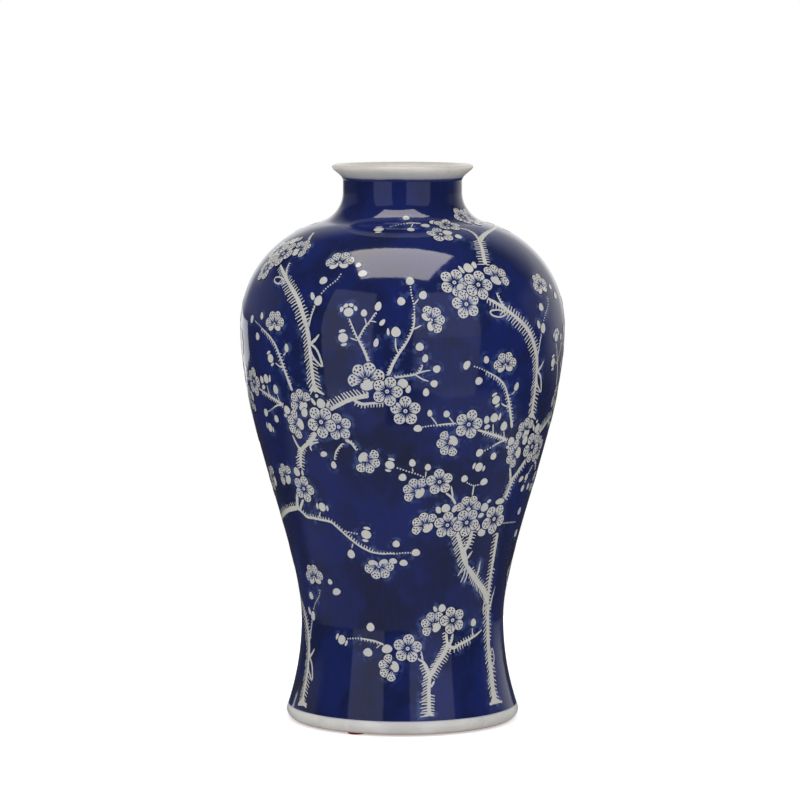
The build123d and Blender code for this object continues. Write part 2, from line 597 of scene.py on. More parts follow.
white_foot = banded_white(
    "white_foot",
    clay=(0.64, 0.63, 0.58, 1),
    crown=((0.62, 0.61, 0.57, 1), 0.02),
    bleed=((0.16, 0.19, 0.34, 1), band_height * mm, 0.0010),
    bare=((0.60, 0.40, 0.32, 1), 0.0015, 0.5),
    outer=ring_outer_radius * mm,
)
lip_border = (rim_height + 1.0) * mm
# On the lip the darker crown is painted shade under the overhead lamp, and the grey over the neck is painted
# shade under its rounded edge.
white_lip = banded_white(
    "white_lip",
    clay=(0.74, 0.71, 0.635, 1),
    crown=((0.505, 0.485, 0.43, 1), (mouth_height - 0.2) * mm),
    bleed=((0.20, 0.22, 0.34, 1), (rim_height + 1.8) * mm, 0.0009),
    bare=((0.010, 0.017, 0.085, 1), lip_border, 0.0),
    outer=neck_radius * mm,
    painted_underside_shade=((0.36, 0.36, 0.36, 1), lip_border, (lip_widest_height - 0.3) * mm),
)
print("banded whites:", white_foot.name, white_lip.name)

# %% [markdown]
# Throwing the walls
#
# A wall is its closed outline turned about the axis. Spin or Screw could turn it, but a node tree keeps the
# rule in view: a grid has one column for each step round and one row for each outline point, and every grid
# point asks the outline where it belongs. Merging the doubles closes the seam and the poles. Rows on the
# inside take the lining's material.

# %% The throwing tree
geometry = "NodeSocketGeometry"
throwing = Tree(
    "throw_a_wall", "GeometryNodeTree",
    [
        ("Geometry", geometry), ("Outline", "NodeSocketObject"), ("Rows", "NodeSocketInt"),
        ("Outer rows", "NodeSocketInt"), ("Steps round", "NodeSocketInt"),
        ("Outside", "NodeSocketMaterial"), ("Lining", "NodeSocketMaterial"),
    ],
    [("Geometry", geometry)],
)
columns = throwing.math("ADD", throwing.given["Steps round"], 1)
grid = throwing.add("GeometryNodeMeshGrid", {"Vertices X": columns, "Vertices Y": throwing.given["Rows"]})
share = throwing.parts(grid.outputs["UV Map"])
last_row = throwing.math("SUBTRACT", throwing.given["Rows"], 1)
row = throwing.math("ROUND", throwing.times(share[1], last_row))
marked = throwing.add(
    "GeometryNodeStoreNamedAttribute", {"Geometry": grid.outputs[0], "Name": "outline_row", "Value": row},
    data_type="FLOAT", domain="POINT",
)
outline = throwing.add("GeometryNodeObjectInfo", {"Object": throwing.given["Outline"]}).outputs["Geometry"]
spot = throwing.add("GeometryNodeInputPosition", {}).outputs[0]
point = throwing.add(
    "GeometryNodeSampleIndex", {"Geometry": outline, "Value": spot, "Index": row},
    data_type="FLOAT_VECTOR", domain="POINT",
).outputs[0]
radius, _, level = throwing.parts(point)
turn = throwing.times(share[0], math.tau)
across = throwing.times(radius, throwing.math("COSINE", turn))
along = throwing.times(radius, throwing.math("SINE", turn))
placed = throwing.add(
    "GeometryNodeSetPosition",
    {"Geometry": marked.outputs[0], "Position": throwing.vector(across, along, level)},
)
merge_distance = 0.000002
closed = throwing.add(
    "GeometryNodeMergeByDistance", {"Geometry": placed.outputs[0], "Distance": merge_distance}
)
whole = throwing.add("GeometryNodeRealizeInstances", {"Geometry": closed.outputs[0]})
coated = throwing.add(
    "GeometryNodeSetMaterial", {"Geometry": whole.outputs[0], "Material": throwing.given["Outside"]}
)
first_inside = throwing.math("SUBTRACT", throwing.given["Outer rows"], 0.9)
inside = throwing.math("GREATER_THAN", throwing.stored("outline_row"), first_inside)
lined = throwing.add(
    "GeometryNodeSetMaterial",
    {"Geometry": coated.outputs[0], "Selection": inside, "Material": throwing.given["Lining"]},
)
throwing.give("Geometry", lined.outputs[0])


sharp_angle = math.radians(32)


def throw(name, outer, inner, outside_material, lining_material, steps_round):
    """A wall from its outer line, bottom to top, and the line that leads back down the inside."""
    points = outer + inner
    holder = line_object(name + "_outline", points)
    base = line_object(name + "_base", [(0, 0), (0, 1)])
    values = {
        "Outline": holder, "Rows": len(points), "Outer rows": len(outer), "Steps round": steps_round,
        "Outside": outside_material, "Lining": lining_material,
    }
    piece = grown(base, throwing, values, name)
    bpy.data.objects.remove(holder)
    mesh = piece.data
    mesh.shade_smooth()
    mesh.set_sharp_from_angle(angle=sharp_angle)
    facing = tuple(round(part, 2) for part in mesh.polygons[0].normal)
    print(name, "has", triangles(mesh), "triangles, and its first face looks", facing)
    return piece


print("throwing tree has", len(throwing.nodes), "nodes")

# %% [markdown]
# The five thrown walls
#
# Seen from outside, the luted seams are hidden under the glaze, so the walls meet edge to edge: the foot,
# the lower body with its floor, the upper body, the shoulder with the neck, and the lip. They are kept
# apart, as the sections of the real vase are, because one mesh for everything would also make the exported
# picture coarser.

# %% The inside and the foot
ring_edge = 1.0
ring_edge_middle = 0.3
ring_rows = (64.0, 68.5)
recess_row = 5.0
underside_rows = (0.0, 20.0, 40.0)
floor_rows = (30.0, 15.0, 0.0)
narrow_steps = 360
lower_steps = 420
wide_steps = 480

corner_height = floor_top + floor_rounding
corner_reach = flare_rounding + wall + floor_rounding
corner_radius = flare_centre[0] - math.sqrt(corner_reach**2 - (waist[1] - corner_height) ** 2)
floor_corner = (corner_radius, corner_height)
wall_point = toward(flare_centre, floor_corner, flare_rounding + wall)
inside_wall = body_side(wall, wall_point, inside_spacing)
recess_corner = (ring_inner_radius - recess_rounding, floor_underside - recess_rounding)
recess_foot = (ring_inner_radius, recess_corner[1])
recess = arc(recess_corner, recess_foot, (recess_corner[0], floor_underside), spacing=0.8)
recess_at_band = at_height(recess, band_height)

foot_corner = (ring_outer_radius, pad_thickness)
edge_middle = ((foot_corner[0] + foot_widest[0]) / 2, (foot_corner[1] + foot_widest[1]) / 2)
chord = math.dist(foot_corner, foot_widest)
edge_radius = ((chord / 2) ** 2 + foot_edge_bulge**2) / (2 * foot_edge_bulge)
along_edge = ((foot_widest[0] - foot_corner[0]) / chord, (foot_widest[1] - foot_corner[1]) / chord)
edge_centre = (
    edge_middle[0] - along_edge[1] * (edge_radius - foot_edge_bulge),
    edge_middle[1] + along_edge[0] * (edge_radius - foot_edge_bulge),
)
foot_outer = [(ring_inner_radius, pad_thickness + ring_edge)]
foot_outer += [(ring_inner_radius + ring_edge_middle, pad_thickness + ring_edge_middle)]
foot_outer += [(radius, pad_thickness) for radius in (ring_inner_radius + ring_edge, *ring_rows)]
foot_outer += arc(edge_centre, foot_corner, foot_widest, spacing=0.6)
foot_outer += stretch(outside, foot_widest[1], band_height)[1:]
foot_back = [recess_at_band, recess_foot, (ring_inner_radius, recess_row), foot_outer[0]]
foot = throw("foot_band", foot_outer, foot_back, white_foot, white_foot, narrow_steps)

# %% The body walls
under = [(radius, floor_underside) for radius in underside_rows]
under += [point for point in reversed(recess) if point[1] > band_height + 0.1] + [recess_at_band]
low_inside = list(reversed(stretch(inside_wall, wall_point[1], body_seam_height)))
low_inside += arc(floor_corner, wall_point, (corner_radius, floor_top), spacing=2.0)[1:]
low_inside += [(radius, floor_top) for radius in floor_rows]
low_outer = stretch(outside, band_height, body_seam_height)
low_back = low_inside + under
lower_body = throw("lower_body_glaze", low_outer, low_back, cobalt_ground, white_lining, lower_steps)

upper_outer = stretch(outside, body_seam_height, belly[1])
upper_inside = list(reversed(stretch(inside_wall, body_seam_height, belly[1]))) + [upper_outer[0]]
upper_body = throw("upper_body_glaze", upper_outer, upper_inside, cobalt_ground, white_lining, wide_steps)

shoulder_outer = stretch(outside, belly[1], rim_height)
shoulder_inside = list(reversed(stretch(inside_wall, belly[1], rim_height))) + [shoulder_outer[0]]
shoulder = throw("shoulder_glaze", shoulder_outer, shoulder_inside, cobalt_ground, white_lining, wide_steps)

# %% The lip
lip_root = (neck_radius, rim_height)
lip_root_pull = (neck_radius + 0.4, rim_height + 2.6)
lip_edge_pull = (lip_radius - 2.2, lip_widest_height - 1.6)
lip_edge = (lip_radius - 0.9, lip_widest_height - 0.2)
bead_pull = (lip_radius + 0.9, mouth_height - 1.4)
lip_top = (lip_radius - lip_bead_radius, mouth_height)
lip_top_pull = (lip_top[0] + 2.4, mouth_height)
bore = (neck_radius - wall, rim_height)
lip_outer = pulled(lip_root, lip_root_pull, lip_edge_pull, lip_edge, spacing=0.7)
lip_outer += pulled(lip_edge, bead_pull, lip_top_pull, lip_top, spacing=0.5)[1:]
throat_pulls = ((lip_top[0] - mouth_pull, mouth_height), (bore[0], rim_height + mouth_pull))
lip_outer += pulled(lip_top, *throat_pulls, bore, spacing=0.8)[1:]
lip = throw("lip", lip_outer, [lip_outer[0]], white_lip, white_lip, narrow_steps)

# %% [markdown]
# Stamps for the painting
#
# The painter repeats a few motifs: a blossom seen from the front, one seen from the side, an oval bud, a
# bud in its calyx, a short stroke and a dot. Drawing each one in place would be long, so each is cut once
# as a flat stamp of unit size. A stamp has three layers: a blue edge underneath, the white petals, and the
# blue pen lines.

# %% The stamp cutter
petal_tints = (1.0, 0.45, 0.0, 0.0)


class Stamp:
    """Flat faces of one motif, in units of its own size."""

    def __init__(self):
        self.points = []
        self.faces = []
        self.tint = []

    def rows(self, rows, tint=None):
        """Faces between rows of points; tint says how much blue wash each row takes."""
        start = len(self.points)
        width = len(rows[0])
        for level, line in enumerate(rows):
            self.points.extend(line)
            self.tint.extend([tint[level] if tint else 0.0] * width)
        for level in range(len(rows) - 1):
            for step in range(width - 1):
                corner = start + level * width + step
                self.faces.append((corner, corner + 1, corner + width + 1, corner + width))

    def petal(self, axis, half, reach, roundness, inner, gap, grow=0.0):
        """A rounded petal that opens outwards about an axis angle, with a gap to its neighbours."""
        cos, sin = math.cos(axis), math.sin(axis)
        lines = []
        for level in range(len(petal_tints)):
            line = []
            for step in range(9):
                angle = half * (1 - step / 4)
                bulge = roundness**2 - (reach * math.sin(angle)) ** 2
                edge = reach * math.cos(angle) + math.sqrt(max(bulge, 0))
                radius = inner + (edge + grow - inner) * level / (len(petal_tints) - 1)
                side = radius * math.sin(angle) - math.copysign(gap, angle) * (abs(angle) / half)
                out = radius * math.cos(angle)
                line.append((out * cos - side * sin, out * sin + side * cos))
            lines.append(line)
        self.rows(lines, petal_tints)

    def oval(self, x, y, wide, high, turn=0.0, spokes=14, rings=2, taper=0.0, hollow=0.0):
        """A filled oval, or with hollow the outline of one; taper narrows its top."""
        lines = []
        for ring in range(rings + 1):
            share = max(hollow + (1 - hollow) * ring / rings, 0.001)
            line = []
            for step in range(spokes + 1):
                angle = -2 * math.pi * step / spokes
                across = wide * share * math.cos(angle) * (1 - taper * math.sin(angle))
                up = high * share * math.sin(angle)
                line.append((
                    x + across * math.cos(turn) - up * math.sin(turn),
                    y + across * math.sin(turn) + up * math.cos(turn),
                ))
            lines.append(line)
        self.rows(lines)

    def ray(self, x, y, angle, start, end, width, tip, bend=0.0):
        """A stroke that leaves a point at an angle, with a bend on request."""
        cos, sin = math.cos(angle), math.sin(angle)
        lines = []
        for share in (0.0, 0.35, 0.7, 1.0):
            far = start + (end - start) * share
            half = (width + (tip - width) * share) / 2
            aside = bend * share**2
            middle = (x + far * cos - aside * sin, y + far * sin + aside * cos)
            left = (middle[0] - half * sin, middle[1] + half * cos)
            right = (middle[0] + half * sin, middle[1] - half * cos)
            lines.append([left, right])
        self.rows(lines)

    def cut(self, name, collection):
        """The stamp as an object in a collection."""
        mesh = bpy.data.meshes.new(name)
        mesh.from_pydata([(x, y, 0) for x, y in self.points], [], self.faces)
        mesh.attributes.new("blue_tint", "FLOAT", "POINT").data.foreach_set("value", self.tint)
        collection.objects.link(bpy.data.objects.new(name, mesh))


quarter = math.pi / 2
fifth = math.tau / 5
print("stamp cutter ready, with", len(petal_tints), "rows in a petal")


# %% Front blossom and side blossoms
front_dots = ((0.86, 0.0), (0.78, 0.25), (0.78, -0.25), (0.63, 0.17), (0.63, -0.17))
fan_dots = ((0.92, 0.0), (0.85, 0.24), (0.85, -0.24), (0.70, 0.14), (0.70, -0.14))
dot_size = 0.062
edge_line = {"inner": 0.02, "gap": -0.01, "grow": 0.065}


def dotted(stamp, axis, spots):
    """Dots on a petal, each at a distance out and a lean from the petal's axis."""
    for far, lean in spots:
        x = far * math.cos(axis + lean)
        y = far * math.sin(axis + lean)
        stamp.oval(x, y, dot_size, dot_size, spokes=6, rings=1)


def front_blossom(layer):
    """Five round petals about a small eye, with a ring of stamens and dotted petals."""
    stamp = Stamp()
    for petal in range(5):
        axis = quarter + petal * fifth
        if layer == "edge":
            stamp.petal(axis, fifth / 2, reach=0.58, roundness=0.42, **edge_line)
        if layer == "white":
            stamp.petal(axis, fifth / 2, reach=0.58, roundness=0.42, inner=0.23, gap=0.034)
        if layer == "pen":
            for lean, end in ((-0.47, 0.47), (-0.16, 0.53), (0.16, 0.53), (0.47, 0.47)):
                stamp.ray(0, 0, axis + lean, start=0.19, end=end, width=0.082, tip=0.036)
            dotted(stamp, axis, front_dots)
    if layer == "white":
        stamp.oval(0, 0, 0.135, 0.135, spokes=10, rings=1)
    if layer == "pen":
        stamp.oval(0, 0, 0.045, 0.045, spokes=6, rings=1)
    return stamp


def fan_of_petals(stamp, layer):
    """Four broad dotted petals fanned upwards, with stamens between them."""
    for lean in (75, 25, -25, -75):
        axis = math.radians(90 + lean)
        if layer == "edge":
            stamp.petal(axis, 0.46, reach=0.66, roundness=0.40, **edge_line)
        if layer == "white":
            stamp.petal(axis, 0.436, reach=0.66, roundness=0.40, inner=0.27, gap=0.03)
        if layer == "pen":
            for stamen in (-0.3, 0.0, 0.3):
                stamp.ray(0, 0, axis + stamen, start=0.2, end=0.56, width=0.08, tip=0.036)
            dotted(stamp, axis, fan_dots)


def side_blossom(layer):
    """A fan of petals behind one plain petal and the eye."""
    stamp = Stamp()
    fan_of_petals(stamp, layer)
    if layer == "edge":
        stamp.oval(0.02, -0.20, 0.50, 0.36, 0.15)
    if layer == "white":
        stamp.oval(0.02, -0.20, 0.44, 0.30, 0.15)
        stamp.oval(-0.02, 0.17, 0.12, 0.12, spokes=10, rings=1)
    if layer == "pen":
        stamp.oval(0.02, -0.20, 0.49, 0.35, 0.15, spokes=18, rings=1, hollow=0.88)
    return stamp


def twin_blossom(layer):
    """A fan of petals behind two plain petals and the eye."""
    stamp = Stamp()
    fan_of_petals(stamp, layer)
    for x, y, turn in ((-0.36, -0.12, 0.45), (0.36, -0.15, -0.4)):
        if layer == "edge":
            stamp.oval(x, y, 0.41, 0.30, turn)
        if layer == "white":
            stamp.oval(x, y, 0.35, 0.24, turn)
        if layer == "pen":
            stamp.oval(x, y, 0.40, 0.29, turn, spokes=16, rings=1, hollow=0.86)
    if layer == "white":
        stamp.oval(0.0, 0.14, 0.11, 0.11, spokes=10, rings=1)
    return stamp


print("blossom faces:", len(front_blossom("white").faces), len(side_blossom("white").faces))


# %% Buds, strokes and dots
def oval_bud(layer):
    """A closed bud, a little narrower at its tip."""
    stamp = Stamp()
    if layer == "edge":
        stamp.oval(0, 0, 1.16, 1.14, taper=0.16)
    if layer == "white":
        stamp.oval(0, 0, 1, 1, taper=0.16)
    return stamp


def calyx_bud(layer):
    """A round bud with a fan of four small sepals over it."""
    stamp = Stamp()
    if layer == "edge":
        stamp.oval(0, 0.0, 1.02, 0.88)
    if layer == "white":
        stamp.oval(0, -0.20, 0.54, 0.47)
        for angle, far in ((164, 0.80), (118, 0.68), (68, 0.70), (20, 0.80)):
            turn = math.radians(angle)
            x = far * math.cos(turn)
            y = far * math.sin(turn) - 0.1
            stamp.oval(x, y, 0.20, 0.30, turn, spokes=9, rings=1, taper=0.25)
    return stamp


def crescent_bud(layer):
    """A round bud between two sepals, one over it and one below."""
    stamp = Stamp()
    if layer == "edge":
        stamp.oval(0, 0, 0.74, 1.08)
    if layer == "white":
        stamp.oval(0, 0, 0.62, 0.56)
        stamp.oval(-0.06, 0.82, 0.44, 0.19, 0.12, spokes=10, rings=1, taper=0.25)
        stamp.oval(0.04, -0.82, 0.40, 0.18, 0.15, spokes=10, rings=1, taper=-0.25)
    return stamp


def bent_stroke(layer, bend):
    """A short stroke, upright from its foot, that thins and bends towards its end."""
    stamp = Stamp()
    if layer == "white":
        stamp.ray(0, 0, quarter, start=0, end=1, width=1.0, tip=0.62, bend=bend)
    return stamp


def left_stroke(layer):
    """A short stroke that bends left."""
    return bent_stroke(layer, 0.3)


def right_stroke(layer):
    """A short stroke that bends right."""
    return bent_stroke(layer, -0.3)


def round_dot(layer):
    """A dot of the finest twigs."""
    stamp = Stamp()
    if layer == "white":
        stamp.oval(0, 0, 1, 1, spokes=7, rings=1)
    return stamp


motifs = [front_blossom, side_blossom, oval_bud, calyx_bud, left_stroke, round_dot, twin_blossom]
motifs += [right_stroke, crescent_bud]
kind_of = {motif: kind for kind, motif in enumerate(motifs)}
stamp_sets = {}
for layer in ("edge", "white", "pen"):
    stamp_sets[layer] = bpy.data.collections.new("stamps_" + layer)
    for motif, kind in kind_of.items():
        motif(layer).cut(f"{layer}_{kind}_{motif.__name__}", stamp_sets[layer])

# %% [markdown]
# The painter's notebook
#
# The design is noted as the painter would: degrees round the vase, millimetres up the side, and sizes in
# millimetres. A branch is a smooth line with a width at each end. A comb is the row of short strokes that
# shades a trunk. The notebook can be moved, because the same trunk, twig and cluster come back at other
# places.

# %% The painter's notebook
painter_seed = 5
stroke_spacing = 1.2
barb_spacing = 2.0
steps_between_stops = 24


class Notebook:
    """Collects the stamps and the branch strokes of the design."""

    def __init__(self):
        self.stamps = []
        self.strokes = []
        self.move()
        self.hand = random.Random(painter_seed)

    def move(self, around=0.0, up=0.0, pivot=0.0, spread=1.0):
        """Shifts what is painted next; spread keeps a motif's width where the vase is narrower."""
        self.shift = (around, up, pivot, spread)

    def spot(self, around, up):
        """A noted place as it falls after the move."""
        shift_around, shift_up, pivot, spread = self.shift
        return (pivot + (around - pivot) * spread + shift_around, up + shift_up)

    def stamp(self, motif, around, up, wide, high, turn, layer):
        """One stamp: wide and high are half sizes in millimetres, turn is in degrees, anticlockwise."""
        around, up = self.spot(around, up)
        self.stamps.append((motif, around, up, wide, high, turn, layer))

    def front(self, around, up, size=9.2, turn=0, layer=2):
        """A blossom seen from the front."""
        self.stamp(front_blossom, around, up, size, size, turn, layer)

    def side(self, around, up, size=9.0, turn=0, layer=1):
        """A blossom seen from the side, open towards its turn: 0 up, 90 left, -90 right, 180 down."""
        self.stamp(side_blossom, around, up, size, size, turn, layer)

    def twin(self, around, up, size=9.0, turn=0, layer=1):
        """A blossom seen from the side with two plain petals in front."""
        self.stamp(twin_blossom, around, up, size, size, turn, layer)

    def bud(self, around, up, wide=4.4, high=5.2, turn=0, layer=1):
        """A closed bud, of its whole width and height."""
        wide *= self.hand.uniform(0.9, 1.08)
        turn += self.hand.uniform(-12, 12)
        self.stamp(oval_bud, around, up, wide / 2, high / 2, turn, layer)

    def calyx(self, around, up, size=7.4, turn=0, layer=1):
        """A bud in its calyx."""
        self.stamp(calyx_bud, around, up, size / 2, size / 2, turn, layer)

    def crescents(self, around, up, size=7.4, turn=0, layer=1):
        """A bud between two sepals."""
        self.stamp(crescent_bud, around, up, size / 2, size / 2, turn, layer)

    def dots(self, stops, size=1.1, spacing=1.8):
        """A dotted twig through some stops."""
        for around, up, _ in self.walk(stops, spacing):
            self.stamps.append((round_dot, around, up, size / 2, size / 2, 0, 0))

    def walk(self, stops, spacing):
        """Evenly spaced places on a smooth line through some stops, with the heading there."""
        places = [self.spot(*stop) for stop in stops]
        middle = radius_at(sum(up for _, up in places) / len(places))
        degree = math.radians(1) * middle
        flat = [np.array([around * degree, up]) for around, up in places]
        flat = [2 * flat[0] - flat[1]] + flat + [2 * flat[-1] - flat[-2]]
        dense = []
        for before, start, end, after in zip(flat, flat[1:], flat[2:], flat[3:]):
            for t in np.linspace(0, 1, steps_between_stops, endpoint=False):
                bend = (2 * before - 5 * start + 4 * end - after) * t**2
                twist = (3 * start - before - 3 * end + after) * t**3
                dense.append(0.5 * (2 * start + (end - before) * t + bend + twist))
        dense = np.array(dense + [flat[-2]])
        run = np.concatenate([[0], np.cumsum(np.hypot(*np.diff(dense, axis=0).T))])
        count = max(2, round(run[-1] / spacing))
        at = np.linspace(0, run[-1], count + 1)
        x = np.interp(at, run, dense[:, 0])
        up = np.interp(at, run, dense[:, 1])
        heading = np.arctan2(np.gradient(up), np.gradient(x))
        return [(float(a / degree), float(b), float(c)) for a, b, c in zip(x, up, heading)]

    def branch(self, stops, wide, thin, barbs=0.0):
        """A white stroke from one width to another, with barbs on its left, or right if negative."""
        line = self.walk(stops, stroke_spacing)
        widths = [wide + (thin - wide) * step / (len(line) - 1) for step in range(len(line))]
        widths = [width * self.hand.uniform(0.88, 1.12) for width in widths]
        self.strokes.append((line, widths))
        if barbs:
            side = math.copysign(1, barbs)
            self.comb(stops, side, abs(barbs) + thin / 2, 0.0, barb_spacing, lean=12)

    def comb(
        self, stops, side, length, wide, spacing=1.9, start=0.0, end=1.0, slant=None, lean=None, thick=0.8
    ):
        """A row of short strokes beside a trunk: side 1 is left of its run and -1 right of it.

        The strokes fall away as a fir's twigs do, unless a slant, or a lean from the trunk, is given.
        """
        line = self.walk(stops, spacing)
        if slant is None:
            slant = 214 if side > 0 else -25
        for around, up, heading in line[int(start * len(line)): int(end * len(line) + 0.5)]:
            out = heading + side * math.pi / 2
            degree = math.radians(1) * radius_at(up)
            reach = wide * 0.32
            foot = (around + reach * math.cos(out) / degree, up + reach * math.sin(out))
            aim = slant if lean is None else math.degrees(out) + side * lean
            turn = aim - 90 + self.hand.uniform(-6, 6)
            size = length * self.hand.uniform(0.85, 1.15)
            width = thick * self.hand.uniform(0.85, 1.15)
            motif = left_stroke if side > 0 else right_stroke
            self.stamps.append((motif, *foot, width, size, turn, 0))


book = Notebook()
print("notebook open, kinds of stamp:", len(kind_of))


# %% [markdown]
# The returning motifs
#
# Nine groups return on the vase: the leaning trunk with its knot and leaf, the twig to its left, the
# cluster at its foot, the branch to the right with two twigs over it, the high cluster over the fork, and
# two small twigs. Each is noted once, where it shows best on the front, and later moved to its other
# places.

# %% The leaning trunk
def leaning_trunk(book):
    """A trunk that leans left to a fork, with a knot, a leaf, a twig and a hanging blossom."""
    trunk = [(-32.5, 210), (-33, 220), (-33.3, 230), (-33.8, 240), (-34.3, 247), (-36, 255)]
    trunk += [(-38.8, 263), (-42.5, 270), (-47, 276), (-50.5, 280)]
    book.branch(trunk, 2.3, 1.9)
    book.branch([(-35.2, 252), (-38.8, 263), (-42.5, 270), (-47, 276)], 2.8, 2.6)
    book.branch([(-32.6, 214), (-31.2, 211), (-28.8, 208.8)], 3.0, 1.0)
    book.branch([(-32.7, 214), (-34.6, 210.3)], 2.4, 1.0)
    book.branch([(-33.6, 238), (-34, 244), (-34.8, 250)], 2.4, 3.2)
    book.branch([(-34.8, 250), (-36.6, 256)], 3.2, 2.2)
    book.branch([(-49.5, 279.3), (-54, 284), (-58.3, 288.3)], 2.6, 1.4)
    book.branch([(-50.2, 279.5), (-52, 285), (-53, 290)], 1.6, 0.9, -1.2)
    book.comb([(-49.5, 279.3), (-54, 284), (-58.3, 288.3)], 1, 3.0, 1.6, 2.2, 0.1, 0.9, lean=10, thick=0.9)
    knot = [(-50.5, 278.4), (-54, 279.8), (-57, 279.2), (-56.2, 276.6), (-53, 275.4), (-50.3, 276.8)]
    book.branch(knot, 1.0, 1.0)
    leaf = [(-33.6, 240), (-31.4, 237.6), (-29.9, 233.5), (-28.8, 226.3)]
    leaf += [(-31, 229.2), (-32.6, 232.8), (-33.4, 237)]
    book.branch(leaf, 1.5, 1.1)
    book.branch([(-33.4, 239.5), (-31.2, 242.6), (-29.7, 245.8)], 2.2, 1.0)
    book.comb(trunk, 1, 5.0, 2.2, 2.2, 0.03, 0.52, slant=223, thick=0.9)
    book.comb(trunk, 1, 5.4, 2.4, 2.25, 0.52, 1.0, thick=0.9)
    book.comb(trunk, -1, 4.6, 2.2, 2.3, 0.05, 0.28, slant=-20, thick=0.95)
    book.comb(trunk, -1, 3.0, 2.4, 2.2, 0.52, 0.97, lean=-6, thick=0.88)
    book.branch([(-34, 250), (-33.2, 257), (-32.2, 262.8)], 1.0, 0.8, 0.9)
    book.bud(-31.2, 266.4, 5.2, 6.4, -8)
    book.bud(-34.0, 269, 3.0, 5.4, 25)
    book.dots([(-30.4, 271), (-28.6, 275), (-25.4, 280), (-24.4, 284)])
    book.bud(-31, 279.4, 5.0, 5.0, 10)
    book.twin(-26.5, 291.5, 9.0, 8)
    book.bud(-18, 291, 3.6, 3.6)
    book.bud(-15.5, 285, 6.2, 4.4, 20)


def left_twig(book):
    """A thin twig that climbs left, with a side blossom and buds."""
    twig = [(-43, 210), (-45.3, 220), (-47.3, 229), (-49.8, 237.5), (-53.5, 243), (-58, 247)]
    book.branch(twig, 2.0, 0.8)
    book.comb(twig, 1, 2.0, 1.2, 2.1, 0.3, 1.0, lean=10, thick=0.8)
    book.comb(twig, -1, 1.8, 1.4, 2.2, 0.1, 0.5, lean=10, thick=0.8)
    book.dots([(-58, 247), (-60.5, 249), (-63, 250.5)])
    book.branch([(-46.6, 224), (-48.5, 224.6), (-50.3, 226.3)], 1.1, 0.8)
    book.crescents(-53, 228.8, 9.6, 20)
    book.twin(-50.3, 249.5, 8.6, 4)
    book.bud(-44, 236.3, 3.8, 5.4, -10)
    book.branch([(-46, 231.5), (-45, 232.5), (-44.4, 234.5)], 0.8, 0.7)
    book.bud(-61, 241.5, 5.0, 4.8, 30)
    book.bud(-58.5, 254.4, 3.6, 4.6, 15)
    book.bud(-66, 251.6, 5.4, 4.2, 60)


def foot_cluster(book):
    """The cluster of blossoms under the leaning trunk."""
    book.side(-39.2, 202, 8.8, 30, 1)
    book.side(-42.3, 188.6, 8.8, 95, 1)
    book.front(-24.2, 188.7, 8.8, 8, 2)
    book.front(-31.3, 191.3, 10.4, 36, 3)
    book.bud(-38.3, 196.7, 5.0, 6.2, -20, 2)
    book.bud(-30.5, 203.2, 6.6, 6.2, 0, 3)
    book.bud(-33.7, 204, 2.2, 5.2, 25, 2)
    book.bud(-27.6, 202.8, 2.2, 5.0, -25, 2)
    book.bud(-32, 207.8, 2.6, 2.4, 0, 2)
    book.bud(-47.2, 197.2, 5.6, 5.6, 30)
    book.bud(-48.4, 193.5, 3.2, 2.2, 0)


print("trunk, twig and cluster noted")


# %% The right branch and the high cluster
def right_branch(book):
    """A short branch to the right that ends in its own cluster."""
    branch = [(-27, 199.5), (-23, 203), (-19, 206.2), (-15, 208.2), (-12, 209.2)]
    book.branch(branch, 2.4, 2.8)
    book.comb(branch, 1, 4.6, 2.8, 2.2, 0.03, 1.0, slant=124, thick=1.0)
    spur = [(-17.5, 206), (-14.5, 203.8), (-11, 204.4), (-6, 205.2)]
    book.branch(spur, 2.2, 1.1)
    book.comb(spur, -1, 2.1, 1.6, 1.9, 0.1, 0.95, lean=0, thick=0.85)
    book.side(-12.5, 218, 11.2, 12, 1)
    book.front(-5.4, 212, 9.4, -20, 3)
    book.bud(0.0, 217, 6.0, 6.0, 20, 2)
    book.bud(2.0, 213.4, 3.0, 5.0, -20, 1)
    book.front(1.0, 199.7, 9.4, 0, 2)


def forked_twig(book):
    """The thin twig over the right branch that forks to buds."""
    book.branch([(-11.5, 229), (-13, 236), (-15.3, 244)], 2.0, 1.1, -1.0)
    book.branch([(-15.3, 243.5), (-17, 250), (-18.7, 256.6)], 1.0, 0.7, 1.0)
    book.branch([(-15.2, 244), (-13, 251), (-11.4, 254.3), (-9.3, 260)], 1.0, 0.7, -0.8)
    book.branch([(-12.4, 252.6), (-13, 256.6)], 0.8, 0.7)
    book.branch([(-10.9, 254.8), (-9, 254.2)], 0.8, 0.7)
    book.branch([(-15.8, 243), (-18, 244.3)], 0.8, 0.7)
    book.calyx(-19, 261, 11.6, 4)
    book.bud(-8.5, 263.8, 4.2, 5.8, -15)
    book.bud(-13.4, 259.6, 3.6, 4.4)
    book.bud(-6.9, 254, 3.0, 4.6, -30)
    book.crescents(-20.6, 244.3, 10.2, 5)
    book.bud(-9, 241.8, 3.0, 5.4, -10)


